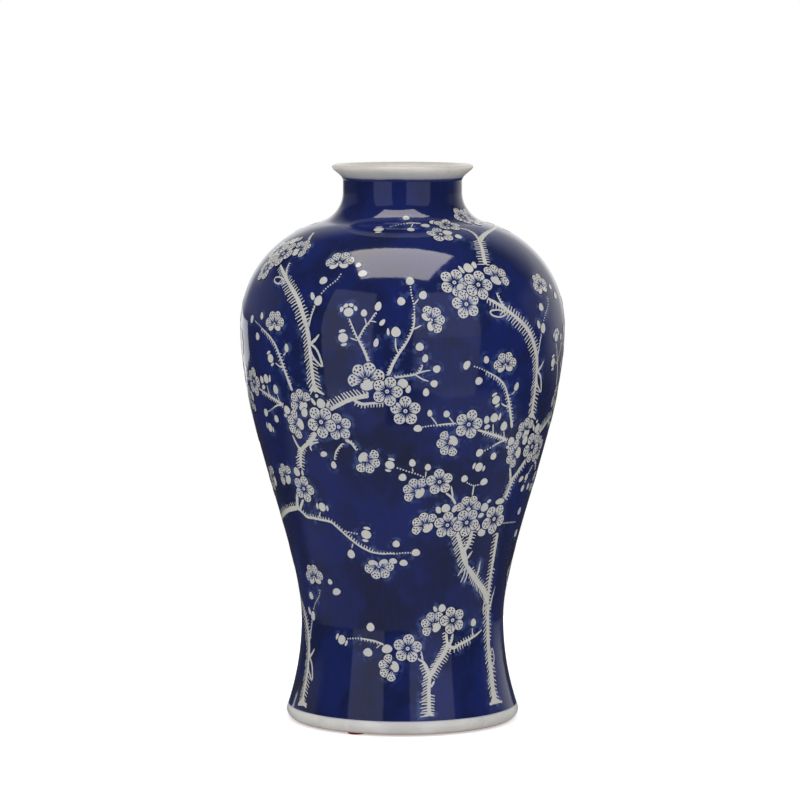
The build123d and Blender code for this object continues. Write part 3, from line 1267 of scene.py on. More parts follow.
def tall_twig(book):
    """The tall twig beside it, with a blossom that looks right and a low fork of buds."""
    twig = [(-5, 222), (-3, 230), (-1, 236), (1, 241), (2.7, 246.5), (3.8, 252), (4.1, 259)]
    book.branch(twig, 2.0, 0.8, 1.2)
    book.dots([(4.1, 260), (3.9, 265), (3.2, 271), (2.9, 276)])
    book.bud(2.7, 280, 5.4, 5.4, 10)
    book.branch([(-1.4, 235.4), (-2.3, 239), (-2.4, 244.5)], 0.9, 0.8)
    book.bud(-2.3, 248.4, 6.0, 6.2)
    book.bud(-4.9, 248.4, 1.8, 4.6, 15)
    book.bud(-0.5, 267, 5.0, 5.2, 25)
    book.branch([(4.1, 265), (5.6, 268.4)], 0.8, 0.7)
    book.bud(7.3, 270.8, 4.8, 5.4, -25)
    book.branch([(3.8, 250), (6.4, 252.2)], 1.0, 0.8)
    book.twin(9.4, 255, 8.6, -62)
    book.bud(5.8, 239.4, 5.0, 5.0)
    book.branch([(-3.5, 220.4), (0.5, 221.3), (4.2, 222.4), (6, 224.6), (6.9, 228)], 1.3, 0.8, 1.0)
    book.branch([(4.6, 222.6), (7, 224.2), (9.6, 224.9)], 0.9, 0.7)
    book.branch([(4.4, 222.2), (7, 219.4), (9, 218.2)], 0.9, 0.7)
    book.bud(7.7, 232.3, 3.6, 5.0)
    book.bud(11.8, 225.7, 5.0, 4.8, -60)
    book.bud(11, 216.7, 4.6, 4.4, -40)
    book.bud(8.2, 211.4, 3.6, 5.0)


def high_cluster(book):
    """The cluster over the fork of the trunk, noted where it shows best on the right."""
    book.side(38, 280.5, 9.0, -35, 1)
    book.front(19.5, 278.6, 9.4, -24, 1)
    book.front(22.8, 264.6, 9.2, 10, 2)
    book.front(29, 276.6, 9.8, -20, 3)
    book.bud(26.8, 288.4, 6.4, 6.8, 0, 2)
    book.bud(23.6, 287.4, 2.6, 6.0, 22, 1)
    book.bud(29.9, 290.4, 3.4, 5.0, -25, 1)
    book.bud(21.4, 275.6, 5.6, 3.8, 30, 3)


print("right branch and high cluster noted")


# %% The small twigs
def flower_twig(book):
    """A twig with a front blossom, a side blossom and many buds, noted where it shows best on the right."""
    book.side(18.5, 179.2, 8.6, 120, 1)
    book.front(25, 190.3, 9.4, -15, 2)
    book.branch([(20, 191.3), (16, 191), (12.5, 190.5)], 1.0, 0.8, 1.0)
    book.dots([(12.5, 190.5), (9.5, 190), (7.4, 189.4)])
    book.branch([(10.3, 196), (12.6, 191)], 0.8, 0.7)
    book.branch([(17, 195.4), (19, 191.5)], 0.8, 0.7)
    book.bud(9.8, 198.2, 3.2, 4.4, 10)
    book.bud(16, 197.5, 4.4, 4.4, 20)
    book.bud(5.6, 188.7, 5.0, 4.4)
    book.bud(32.4, 192.6, 4.0, 5.0, 20)
    book.bud(35.7, 193.6, 5.6, 5.8)
    book.bud(38.2, 194, 2.0, 4.8, -15)
    book.bud(33, 188, 4.4, 3.0, 30)
    book.branch([(36.3, 182.6), (35.6, 189.5)], 1.0, 0.8)
    branch = [(28.5, 186.6), (34, 183.8), (40, 180.6), (44, 178)]
    book.branch(branch, 1.2, 1.9)
    book.comb(branch, -1, 1.7, 1.4, 1.9, 0.2, 1.0, lean=10, thick=0.8)
    book.comb(branch, 1, 1.2, 1.4, 2.2, 0.3, 1.0, lean=10, thick=0.8)
    book.bud(41, 187.6, 5.0, 6.0)
    book.branch([(42.2, 180), (41.4, 184.6)], 0.8, 0.7)
    book.branch([(43, 178.4), (39.5, 176.8), (37.4, 175.2)], 1.2, 0.8)
    book.dots([(37.2, 175), (35, 173.4), (33.6, 172.6)])
    book.bud(31.2, 171.5, 5.6, 4.8, 40)
    book.bud(38.3, 168.5, 4.2, 4.8)
    book.crescents(32, 162, 9.6, 70)


def low_side_twig(book):
    """The twig under the foot cluster with a blossom that looks down to the right."""
    book.branch([(-22, 180.5), (-19.6, 178.4), (-18, 174)], 2.2, 1.1, 1.2)
    book.side(-14.6, 168.4, 8.8, -135)
    book.branch([(-23.4, 178), (-26.3, 173), (-27.7, 167.6)], 1.1, 0.8, 1.0)
    book.bud(-28.3, 163.8, 4.0, 4.8)
    book.bud(-32.2, 170.5, 5.6, 3.6, 10)
    book.crescents(-5, 165, 9.4, -20)
    book.dots([(-2, 163), (3, 160.3), (6.5, 158.5), (9.3, 156)])
    book.bud(3.8, 166.4, 3.8, 5.0)
    book.bud(10, 163.4, 4.2, 4.4)
    book.bud(0, 157, 4.8, 4.8)
    book.branch([(3.9, 163), (4.1, 160.4)], 0.7, 0.7)
    book.branch([(9.4, 160.8), (9.2, 156.8)], 0.7, 0.7)


print("small twigs noted")

# %% [markdown]
# Laying out the front
#
# The front shows two panels of the upper design, the right one about 20 mm lower than the left, and under
# them a lower belt with a big tree, a small tree and a branch that reaches in from the left. Each returning
# motif is moved to its place, and the motifs that come once are noted where they stand.

# %% The two upper panels
for motif in (leaning_trunk, left_twig, foot_cluster, right_branch, forked_twig, tall_twig, low_side_twig):
    motif(book)
low_panel = {leaning_trunk: (89, -19.5), left_twig: (88.5, -24), foot_cluster: (93.5, -20)}
low_panel.update({right_branch: (93, -20), forked_twig: (88, -20), tall_twig: (88, -20)})
low_panel[low_side_twig] = (92, -20)
for motif, (around, up) in low_panel.items():
    book.move(around, up)
    motif(book)
book.move(-93, 22)
flower_twig(book)
book.move(-91.5, 20)
high_cluster(book)
book.move()
book.branch([(-51.5, 307.5), (-54.5, 313), (-57, 318.5)], 2.0, 1.4, 0.8)
flower_twig(book)
high_cluster(book)
print("stamps so far:", len(book.stamps))

# %% The branch under the neck
neck_branch = [(35.5, 290.5), (36.5, 296), (38.5, 303), (40.8, 310.5)]
book.branch(neck_branch, 2.6, 2.2)
book.comb(neck_branch, 1, 4.6, 2.2, 2.1, slant=180, thick=0.9)
book.comb(neck_branch, -1, 3.2, 2.2, 2.1, slant=-4, thick=0.9)
book.branch([(40.8, 310.5), (42.4, 318), (41.5, 323.5), (37.5, 327)], 2.0, 1.1, -1.2)
book.branch([(40.8, 310), (46, 315), (55, 319.5), (68, 323), (80, 325), (88, 328)], 3.2, 0.9, 1.2)
book.bud(91.5, 330, 5.0, 4.6, -60)
book.branch([(76, 324.4), (80, 321), (84, 319.4)], 1.0, 0.8)
book.bud(87.4, 318.4, 4.8, 4.6, -70)
book.front(32.2, 332.2, 8.6, -15, 2)
book.front(21.2, 319.4, 8.6, 4, 1)
book.bud(25.6, 321, 6.2, 6.0, 20, 3)
book.bud(30.4, 316, 4.6, 5.0, -10, 2)
book.bud(15.6, 332.6, 6.6, 5.6, 70, 1)
book.bud(23.4, 337.2, 5.6, 4.4, 0, 1)
book.branch([(12.8, 336.4), (8, 337.2), (3, 336.8)], 1.0, 0.8, 0.8)
book.dots([(3, 336.5), (-2, 335), (-8, 331.5)])
book.bud(2.8, 342, 4.6, 3.8)
book.bud(5.0, 326.4, 4.8, 5.4)
book.branch([(5.4, 330.4), (7.4, 336)], 0.7, 0.7)
book.crescents(-14.5, 326, 10.0, 8)
book.front(57, 341, 8.2, 20, 2)
book.front(71, 340, 8.0, 0, 1)
book.bud(62, 332, 5.0, 5.0, 0, 2)
print("neck branch noted")

# %% The lower belt: left branch
book.branch([(-34.5, 184), (-37.6, 178), (-41, 174.6), (-43.4, 171), (-44.6, 166), (-45.6, 160)], 2.8, 2.0)
fall = [(-45.6, 160), (-44.6, 166), (-43.4, 171), (-41, 174.6), (-37.6, 178), (-34.5, 184)]
book.comb(fall, 1, 4.0, 2.2, 2.1, slant=203, thick=0.9)
book.comb(fall, -1, 2.6, 2.2, 2.2, 0.0, 0.5, lean=0, thick=0.85)
book.branch([(-46.6, 181), (-45.4, 176), (-43.6, 171.5)], 0.9, 2.0)
book.branch([(-33.8, 179.6), (-36.4, 179), (-38, 177)], 1.0, 1.2)
book.branch([(-33.8, 178), (-36.4, 177), (-38.2, 174.6), (-37.8, 172)], 0.9, 1.3)
book.side(-57, 152, 8.6, 40)
book.front(-46.5, 146, 8.8, -20, 2)
book.bud(-48.6, 157, 6.0, 6.0, 20, 2)
book.bud(-45.2, 156.6, 2.2, 4.6, -15)
book.side(-72, 148, 9.0, 60)
book.branch([(-52, 142), (-53.4, 137), (-54.4, 131.5)], 2.2, 2.6)
book.branch([(-48.6, 138.5), (-51, 134.5), (-53, 131)], 1.8, 2.2)
limb = [(-88.6, 74), (-91.4, 84), (-93.4, 95), (-93, 105), (-90, 112.5), (-85, 118.6)]
limb += [(-77, 123), (-70, 126.4), (-62, 130), (-55, 132)]
book.branch(limb, 2.8, 3.0)
book.comb(limb, 1, 2.8, 2.6, 2.6, lean=0, thick=1.0)
reach = [(-55, 132), (-52, 130), (-48.8, 127), (-45, 126.8), (-41.8, 126.5), (-34.8, 125.5), (-32, 123)]
reach += [(-26.5, 116.4), (-20.8, 110.5), (-15, 106.7)]
book.branch(reach, 1.8, 1.1)
book.comb(reach, 1, 2.0, 1.2, 2.0, 0.1, 1.0, lean=0, thick=0.8)
book.branch([(-15, 106.7), (-10, 106), (-4, 106.3)], 1.0, 0.8, 0.8)
book.dots([(-4, 106), (0, 106.7), (4, 106.8)])
book.bud(6.4, 107, 5.0, 4.8)
book.branch([(-41, 127.6), (-39.4, 131.4)], 1.0, 0.8)
book.crescents(-37.7, 135, 9.6, 80)
book.dots([(-27, 119.8), (-24, 119.2), (-21.5, 118.7)])
book.crescents(-17, 118.6, 10.4, -15)
book.branch([(-24.2, 112), (-25.2, 108.8)], 0.8, 0.7)
book.bud(-25.8, 105, 5.0, 5.8)
book.bud(-3, 112.8, 4.4, 4.6)
book.bud(0.5, 100.2, 5.0, 4.2)
book.twin(-12, 98.5, 9.0, 188)
book.bud(-4.6, 101.4, 5.0, 3.6, -20)
print("left branch noted")

# %% The lower belt: big tree
book.front(15.2, 153.6, 8.6, 7, 2)
book.side(6.2, 147.5, 8.6, 50)
book.branch([(18.4, 146), (21.4, 142.6), (23.4, 138.4)], 1.2, 1.6)
book.branch([(20.4, 150.4), (21.8, 143)], 1.0, 1.2)
book.bud(26, 155, 4.4, 4.6)
book.bud(35.7, 152, 5.6, 4.6)
book.dots([(27.6, 152), (30.6, 150), (34, 150.4)])
book.branch([(31, 150), (31, 143)], 0.9, 0.9)
book.side(10.6, 124.5, 8.6, 40, 1)
book.front(20.6, 124.6, 8.8, 0, 2)
book.side(30, 134.5, 8.6, 0, 1)
book.front(30.2, 125.6, 9.4, 36, 3)
book.front(46.2, 126, 10.0, 40, 2)
book.bud(19, 136, 6.0, 5.6, 0, 2)
book.bud(15.8, 135, 3.6, 5.0, 30)
book.bud(23.2, 135.4, 3.2, 5.2, -15, 1)
book.bud(38.6, 134.8, 6.2, 5.8, 0, 2)
book.bud(40.6, 138.6, 3.6, 2.4, 30)
book.bud(37.4, 129.6, 4.4, 3.2, 20, 2)
book.bud(37, 121.6, 3.6, 4.4)
book.bud(39.9, 118, 6.0, 5.4)
high_arm = [(34.5, 96), (32, 101.5), (29.8, 108), (27.8, 114), (26, 120)]
book.branch(high_arm, 3.0, 2.6)
book.branch([(34, 97), (32.4, 101), (31.2, 105), (30.6, 109)], 3.2, 4.4)
book.comb(high_arm, 1, 4.8, 2.8, 2.1, 0.0, 1.0, slant=229, thick=0.88)
book.comb(high_arm, -1, 2.8, 2.4, 2.2, 0.55, 1.0, slant=40, thick=0.85)
side_arm = [(31.8, 107), (33.4, 112), (34.2, 121.5)]
book.branch(side_arm, 2.8, 2.2)
book.comb(side_arm, 1, 3.0, 2.2, 2.1, 0.25, 1.0, slant=190, thick=0.9)
book.comb(side_arm, -1, 2.8, 2.2, 2.1, 0.2, 1.0, slant=-10, thick=0.9)
low_arm = [(55, 70.5), (49.8, 78), (44, 84), (38.5, 90.5), (34.5, 96)]
book.branch(low_arm, 4.0, 3.2)
book.comb(low_arm, 1, 3.6, 3.2, 2.1, 0.1, 0.85, slant=258, thick=0.85)
book.comb(low_arm, -1, 2.4, 3.2, 2.2, 0.1, 0.9, lean=-8, thick=0.85)
hangs = [[(32.4, 96.5), (31, 93), (29.6, 90)], [(33.6, 95), (33.4, 90.5), (32, 85.6)]]
hangs += [[(35.2, 92.5), (35.2, 89), (34, 85)]]
for hang in hangs:
    book.branch(hang, 1.2, 0.7)
thorns = [[(33.8, 101), (36.4, 106)], [(41, 87), (42.6, 91), (42.9, 98.5)]]
thorns += [[(57.7, 66), (58.8, 72.5), (60.4, 79.5)]]
for thorn in thorns:
    book.branch(thorn, 2.2, 0.5)
for loop in ([(52.2, 73), (51, 68), (51.4, 63)], [(55, 71), (53.6, 65), (54.6, 59.5)]):
    book.branch(loop, 0.8, 1.0)
right_arm = [(55, 68), (53.8, 81), (52.8, 98), (51.4, 116)]
book.branch(right_arm, 2.8, 2.3)
book.comb(right_arm, 1, 3.6, 2.2, 2.4, slant=200, thick=1.0)
book.comb(right_arm, -1, 3.0, 2.2, 2.4, 0.0, 0.5, slant=-20, thick=1.0)
bole = [(55.4, 5.5), (55.8, 17), (56.6, 27), (56.5, 45), (56.6, 55), (55.6, 68)]
book.branch(bole, 5.2, 2.8)
book.branch([(50.2, 6.2), (55.4, 6.6), (62, 5.8)], 1.8, 1.4)
book.branch([(52.4, 6.8), (55.5, 8.4), (59.6, 6.6)], 1.6, 1.6)
book.comb(bole, 1, 4.8, 3.6, 2.6, 0.1, 1.0, slant=216, thick=1.05)
book.comb(bole, -1, 3.8, 3.6, 2.6, 0.08, 0.5, slant=-18, thick=1.05)
book.comb(bole, -1, 3.0, 2.6, 2.4, 0.64, 1.0, slant=-20, thick=0.95)
book.branch([(58.2, 28.5), (61, 32), (61.6, 36), (60.2, 40), (58.2, 37), (57.4, 32)], 1.2, 1.0)
book.dots([(54, 122), (60, 121.6), (66, 121)])
book.bud(67.6, 128, 4.8, 5.0)
book.bud(72, 112.6, 5.0, 5.0)
stem = [(50.6, 139), (52, 146), (53.2, 152), (56.6, 157), (60, 163.5)]
book.branch(stem, 2.4, 2.6)
book.comb(stem, 1, 3.8, 2.4, 2.2, thick=0.9)
book.comb(stem, -1, 2.6, 2.4, 2.2, lean=0, thick=0.9)
book.branch([(49, 160.5), (51, 153), (52.4, 147)], 1.6, 2.0)
book.bud(47.6, 137.6, 9.0, 4.0, 4)
book.bud(64.6, 151, 4.4, 4.8)
book.bud(70, 144, 4.6, 4.6)
print("big tree noted")

# %% The lower belt: small tree and low left trunk
small_trunk = [(13.3, 3.4), (13.7, 13), (14, 20.5), (15, 28.5)]
book.branch(small_trunk, 2.2, 2.2)
book.branch([(10.8, 3.6), (13.4, 3.9), (15.8, 3.5)], 1.3, 1.3)
book.branch([(12, 4.4), (13.4, 6), (14.8, 4.4)], 1.4, 1.4)
book.comb(small_trunk, 1, 4.6, 2.2, 1.75, 0.05, 0.4, slant=182, thick=0.95)
book.comb(small_trunk, 1, 4.4, 2.2, 1.75, 0.4, 1.0, slant=204, thick=0.95)
book.comb(small_trunk, -1, 3.0, 2.2, 1.85, 0.08, 0.55, slant=-4, thick=0.9)
book.branch([(14.6, 21), (15.8, 22), (17.2, 24.6)], 1.8, 1.0)
left_fork = [(14.8, 27.5), (12.8, 33.5), (11.2, 37)]
book.branch(left_fork, 2.4, 2.0)
book.comb(left_fork, 1, 2.9, 2.0, 1.8, 0.0, 0.8, slant=200, thick=0.9)
book.branch([(11.2, 37), (9.6, 37.6), (8, 39.4)], 1.4, 0.9)
book.branch([(11.2, 37), (10.8, 40), (10.2, 43.5)], 1.0, 0.8, 0.6)
right_fork = [(15, 27.5), (19, 34.5), (22.8, 40), (26, 46)]
book.branch(right_fork, 2.6, 2.6)
book.comb(right_fork, -1, 3.2, 2.4, 1.8, 0.05, 1.0, slant=-32, thick=0.8)
book.comb(right_fork, 1, 3.4, 2.4, 1.9, 0.1, 1.0, slant=188, thick=0.9)
left_top = [(26, 45), (25.4, 49), (25, 54)]
book.branch(left_top, 2.0, 1.4)
book.comb(left_top, 1, 2.4, 1.6, 1.9, slant=188, thick=0.85)
book.branch([(26.4, 45.6), (28.2, 48.6), (29.2, 53)], 2.0, 1.2, 0.8)
right_top = [(26.4, 45.6), (29.4, 44.2), (33.8, 46), (39.5, 48), (44.8, 50), (50.6, 53)]
book.branch(right_top, 2.2, 0.9)
book.comb(right_top, -1, 2.6, 1.6, 2.0, 0.05, 0.6, lean=0, thick=0.85)
book.comb(right_top, 1, 2.0, 1.2, 2.0, 0.25, 0.7, lean=0, thick=0.8)
book.branch([(42.6, 49.6), (42.8, 55)], 0.8, 0.7)
book.bud(43.4, 58.6, 5.0, 5.0)
book.side(18, 59, 8.4, 50, 1)
book.front(28.8, 61.6, 8.8, 18, 2)
book.bud(22, 69.8, 5.4, 5.0)
book.bud(18, 69.4, 2.6, 4.0, 20)
book.side(-5.6, 33.4, 8.2, 100, 1)
book.front(2.8, 45, 9.0, -7, 2)
book.bud(-8.6, 44.8, 7.2, 5.4, 20)
book.branch([(-10.6, 47.4), (-16, 49.4), (-23.6, 50.5)], 1.2, 0.8, 1.1)
book.dots([(-23.6, 50.5), (-28, 50.2), (-32, 49.6)])
book.crescents(-36, 48.6, 9.8, 60)
book.branch([(-14.6, 45), (-12.6, 47)], 0.8, 0.7)
book.bud(-18, 58, 5.2, 5.4)
book.bud(-19.4, 42.2, 5.6, 5.2)
book.move(-30, -206, -32.5, 1.45)
leaning_trunk(book)
book.move()
book.branch([(-66.5, 3.2), (-62, 4.2), (-57.5, 4.6)], 2.2, 2.0)
book.side(-91, 93, 8.4, 20)
book.front(-98, 86, 8.8, 10, 2)
print("the design has", len(book.stamps), "stamps and", len(book.strokes), "strokes")

# %% [markdown]
# Wrapping the drawing round the vase
#
# The notebook is flat: across and up. A shrinkwrap would pull it on unevenly, so a node group does what the
# painter's hand does. Each point keeps its length up the side, its distance across becomes an angle at that
# radius, and it is lifted a few hundredths of a millimetre off the ground along the slope of the wall.

# %% The wrapping group
wrap = Tree(
    "wrap_on_the_side", "GeometryNodeTree",
    [("Geometry", geometry), ("Ruler", "NodeSocketObject"), ("Lift", number), ("Layer lift", number)],
    [("Geometry", geometry)],
)
flat = wrap.parts(wrap.add("GeometryNodeInputPosition", {}).outputs[0])
ruler_curve = wrap.add("GeometryNodeObjectInfo", {"Object": wrap.given["Ruler"]}).outputs["Geometry"]
reading = wrap.add(
    "GeometryNodeSampleCurve", {"Curves": ruler_curve, "Length": flat[1]}, mode="LENGTH"
).outputs
on_side = wrap.parts(reading["Position"])
slope = wrap.parts(reading["Tangent"])
lift = wrap.plus(wrap.given["Lift"], wrap.stored("layer"), wrap.given["Layer lift"])
angle = wrap.math("ADD", wrap.stored("around"), wrap.math("DIVIDE", flat[0], on_side[0]))
radius = wrap.plus(on_side[0], lift, slope[2])
level = wrap.plus(on_side[2], lift, wrap.times(slope[0], -1.0))
x = wrap.times(radius, wrap.math("SINE", angle))
y = wrap.times(radius, wrap.math("COSINE", angle), -1.0)
wrapped = wrap.add(
    "GeometryNodeSetPosition", {"Geometry": wrap.given["Geometry"], "Position": wrap.vector(x, y, level)}
)
wrap.give("Geometry", wrapped.outputs[0])
print("wrapping group has", len(wrap.nodes), "nodes")


# %% The painting trees
def painting_tree(name, with_stamps):
    """A tree that prints stamps on points, or takes strokes as they are, wraps them and repeats them."""
    tree = Tree(
        name, "GeometryNodeTree",
        [
            ("Geometry", geometry), ("Ruler", "NodeSocketObject"), ("Stamps", "NodeSocketCollection"),
            ("Lift", number), ("Layer lift", number), ("Repeats", "NodeSocketInt"),
            ("Paint", "NodeSocketMaterial"),
        ],
        [("Geometry", geometry)],
    )
    drawing = tree.given["Geometry"]
    if with_stamps:
        stamps = tree.add(
            "GeometryNodeCollectionInfo",
            {"Collection": tree.given["Stamps"], "Separate Children": True, "Reset Children": True},
        )
        printed = tree.add(
            "GeometryNodeInstanceOnPoints",
            {
                "Points": drawing, "Instance": stamps.outputs[0], "Pick Instance": True,
                "Instance Index": tree.stored("kind", "INT"),
                "Rotation": tree.vector(0.0, 0.0, tree.stored("turn")),
                "Scale": tree.stored("size", "FLOAT_VECTOR"),
            },
        )
        drawing = tree.add("GeometryNodeRealizeInstances", {"Geometry": printed.outputs[0]}).outputs[0]
    laid = tree.add(
        "GeometryNodeGroup",
        {
            "Geometry": drawing, "Ruler": tree.given["Ruler"],
            "Lift": tree.given["Lift"], "Layer lift": tree.given["Layer lift"],
        },
        node_tree=wrap.group,
    )
    single = tree.add("GeometryNodeGeometryToInstance", {"Geometry": laid.outputs[0]})
    copies = tree.add(
        "GeometryNodeDuplicateElements", {"Geometry": single.outputs[0], "Amount": tree.given["Repeats"]},
        domain="INSTANCE",
    )
    step = tree.math("DIVIDE", math.tau, tree.given["Repeats"])
    turn = tree.vector(0.0, 0.0, tree.times(copies.outputs["Duplicate Index"], step))
    turned = tree.add(
        "GeometryNodeRotateInstances",
        {"Instances": copies.outputs[0], "Rotation": turn, "Local Space": False},
    )
    whole = tree.add("GeometryNodeRealizeInstances", {"Geometry": turned.outputs[0]})
    coated = tree.add(
        "GeometryNodeSetMaterial", {"Geometry": whole.outputs[0], "Material": tree.given["Paint"]}
    )
    tree.give("Geometry", coated.outputs[0])
    return tree


stamp_tree = painting_tree("print_the_stamps", True)
stroke_tree = painting_tree("lay_the_strokes", False)
print("painting trees:", stamp_tree.group.name, stroke_tree.group.name)


# %% From the notebook to points and strokes
rounded_end = 0.6


def carry(mesh, name, data_type, values):
    """Stores one value for each point of a mesh."""
    store = mesh.attributes.new(name, data_type, "POINT")
    field = "vector" if data_type == "FLOAT_VECTOR" else "value"
    exact = np.int32 if data_type == "INT" else np.float32
    store.data.foreach_set(field, np.array(values, dtype=exact).ravel())


def stamp_points(name, stamps):
    """The stamps' places as loose points that carry their size, turn, kind and layer."""
    mesh = bpy.data.meshes.new(name)
    motifs, arounds, ups, wides, highs, turns, layers = zip(*stamps)
    mesh.from_pydata([(0, up * mm, 0) for up in ups], [], [])
    carry(mesh, "kind", "INT", [kind_of[motif] for motif in motifs])
    carry(mesh, "around", "FLOAT", [math.radians(around) for around in arounds])
    carry(mesh, "size", "FLOAT_VECTOR", [(wide * mm, high * mm, 1) for wide, high in zip(wides, highs)])
    carry(mesh, "turn", "FLOAT", [math.radians(turn) for turn in turns])
    carry(mesh, "layer", "FLOAT", layers)
    return in_scene(name, mesh)


def stroke_ribbons(name, strokes):
    """The branch strokes as flat ribbons with rounded ends."""
    points = []
    around = []
    faces = []
    for line, widths in strokes:
        start = len(points)
        last = len(line) - 1
        for step, (place_around, up, heading) in enumerate(line):
            half = widths[step] / 2 * (rounded_end if step in (0, last) else 1.0)
            degree = math.radians(1) * radius_at(up)
            for side in (half, 0.0, -half):
                points.append((0, (up + side * math.cos(heading)) * mm, 0))
                around.append(math.radians(place_around - side * math.sin(heading) / degree))
        for step in range(last):
            for side in (0, 1):
                corner = start + 3 * step + side
                faces.append((corner, corner + 1, corner + 4, corner + 3))
    mesh = bpy.data.meshes.new(name)
    mesh.from_pydata(points, [], faces)
    carry(mesh, "around", "FLOAT", around)
    carry(mesh, "layer", "FLOAT", [0.0] * len(points))
    return in_scene(name, mesh)


def joined(pieces, name):
    """Several painted pieces as one."""
    with bpy.context.temp_override(
        active_object=pieces[0], object=pieces[0], selected_objects=pieces, selected_editable_objects=pieces
    ):
        bpy.ops.object.join()
    pieces[0].name = name
    pieces[0].data.name = name
    return pieces[0]


def glaze_normals(mesh):
    """Lets light see the smooth side of the vase on the paint, not the small flat faces."""
    points = np.empty(len(mesh.vertices) * 3, dtype=np.float32)
    mesh.vertices.foreach_get("co", points)
    points = points.reshape(-1, 3)
    radius = np.hypot(points[:, 0], points[:, 1])
    out = np.interp(points[:, 2], side_height * mm, slope_up)
    up = np.interp(points[:, 2], side_height * mm, -slope_out)
    normals = np.stack([points[:, 0] / radius * out, points[:, 1] / radius * out, up], 1)
    mesh.shade_smooth()
    mesh.normals_split_custom_set_from_vertices(normals.tolist())


print("ribbon and point makers ready")

# %% [markdown]
# Painting
#
# The design covers half the way round and returns on the back, so every tree repeats it twice. The upper
# design and the lower belt are kept as separate pieces, white and blue apart, so each stays small.

# %% Painting
half_turns = 2
belt_border = 160.0
layer_step = 0.08
branch_lift = 0.06
stamp_layers = {"edge": (0.07, cobalt_pen), "white": (0.095, white_paint), "pen": (0.12, cobalt_pen)}


def belt_of(up):
    """The belt of the design that a length up the side belongs to."""
    return "upper" if up >= belt_border else "lower"


def stroke_height(stroke):
    """How far up the side the middle of a branch stroke is."""
    line, _ = stroke
    return line[len(line) // 2][1]


painted = {}
for belt in ("upper", "lower"):
    stamps = [stamp for stamp in book.stamps if belt_of(stamp[2]) == belt]
    strokes = [stroke for stroke in book.strokes if belt_of(stroke_height(stroke)) == belt]
    shared = {"Ruler": ruler, "Layer lift": layer_step * mm, "Repeats": half_turns}
    done = {}
    for layer, (lift, paint) in stamp_layers.items():
        values = dict(shared, Stamps=stamp_sets[layer], Lift=lift * mm, Paint=paint)
        done[layer] = grown(stamp_points(f"{belt}_{layer}", stamps), stamp_tree, values, f"{belt}_{layer}")
    values = dict(shared, Lift=branch_lift * mm, Paint=white_paint)
    branches = grown(stroke_ribbons(f"{belt}_branches", strokes), stroke_tree, values, f"{belt}_branches")
    painted[belt, "white"] = joined([done["white"], branches], f"{belt}_white_paint")
    painted[belt, "blue"] = joined([done["edge"], done["pen"]], f"{belt}_blue_lines")
for piece in painted.values():
    for attribute in ("kind", "turn", "size", "around", "layer"):
        if attribute in piece.data.attributes:
            piece.data.attributes.remove(piece.data.attributes[attribute])
    glaze_normals(piece.data)
    print(piece.name, "has", triangles(piece.data), "triangles")

# %% [markdown]
# The pale wash beside the white
#
# Where the painter cleans the ground away from a branch, the cobalt thins and leaves a paler edge. The
# walls are fine enough to carry that as a number on each point: how near it is to white paint. A proximity
# node measures it, and the cobalt finish reads it. The walls come in as plain meshes and keep the finishes
# they have.

# %% The pale wash
wash_start = 0.0002
wash_reach = 0.0040

washing = Tree(
    "measure_beside_white", "GeometryNodeTree",
    [("Geometry", geometry), ("White", "NodeSocketCollection"), ("Reach", number)],
    [("Geometry", geometry)],
)
white_shapes = washing.add("GeometryNodeCollectionInfo", {"Collection": washing.given["White"]})
shapes = washing.add("GeometryNodeRealizeInstances", {"Geometry": white_shapes.outputs[0]})
measured = washing.add("GeometryNodeProximity", {0: shapes.outputs[0]}, target_element="FACES")
near = faded(washing, measured.outputs["Distance"], wash_start, washing.given["Reach"])
kept = washing.add(
    "GeometryNodeStoreNamedAttribute",
    {"Geometry": washing.given["Geometry"], "Name": "beside_white", "Value": near},
    data_type="FLOAT", domain="POINT",
)
washing.give("Geometry", kept.outputs[0])
white_pieces = bpy.data.collections.new("white_pieces")
for belt in ("upper", "lower"):
    white_pieces.objects.link(painted[belt, "white"])
washed_walls = []
for wall_piece in (lower_body, upper_body, shoulder):
    name = wall_piece.name
    washed_walls.append(grown(wall_piece, washing, {"White": white_pieces, "Reach": wash_reach}, name))
    washed_walls[-1].name = name
    print(name, "washed beside the white")
lower_body, upper_body, shoulder = washed_walls
bpy.data.collections.remove(white_pieces)

# %% [markdown]
# The felt pads
#
# Three red felt dots keep the foot off the table. Felt is matted wool: soft at the edge, dull, and a little
# hairy. Each pad is a thrown disc with a rounded rim, roughened point by point, in a finish with fine
# fibres.

# %% The felt pads
felt_dark = (0.16, 0.004, 0.008, 1)
felt_light = (0.34, 0.012, 0.02, 1)
fuzz_depth = 0.006
fuzz_fineness = 2500.0
pad_steps = 48

felt = Finish("red_felt", {"Roughness": 0.95, "IOR": 1.4})
place = surface_place(felt)
fibres = noise_value(felt, place, scale=1800.0, detail=4.0, roughness=0.7)
patches = noise_value(felt, place, scale=260.0, detail=2.0)
fleck = ranged(felt, felt.plus(felt.times(patches, 0.3), fibres, 0.7), 0.3, 0.7)
felt.feed("Base Color", blended(felt, fleck, felt_dark, felt_light))
felt_bump = felt.add("ShaderNodeBump", {"Strength": 0.8, "Distance": 0.0003, "Height": fibres})
felt.feed("Normal", felt_bump.outputs[0])

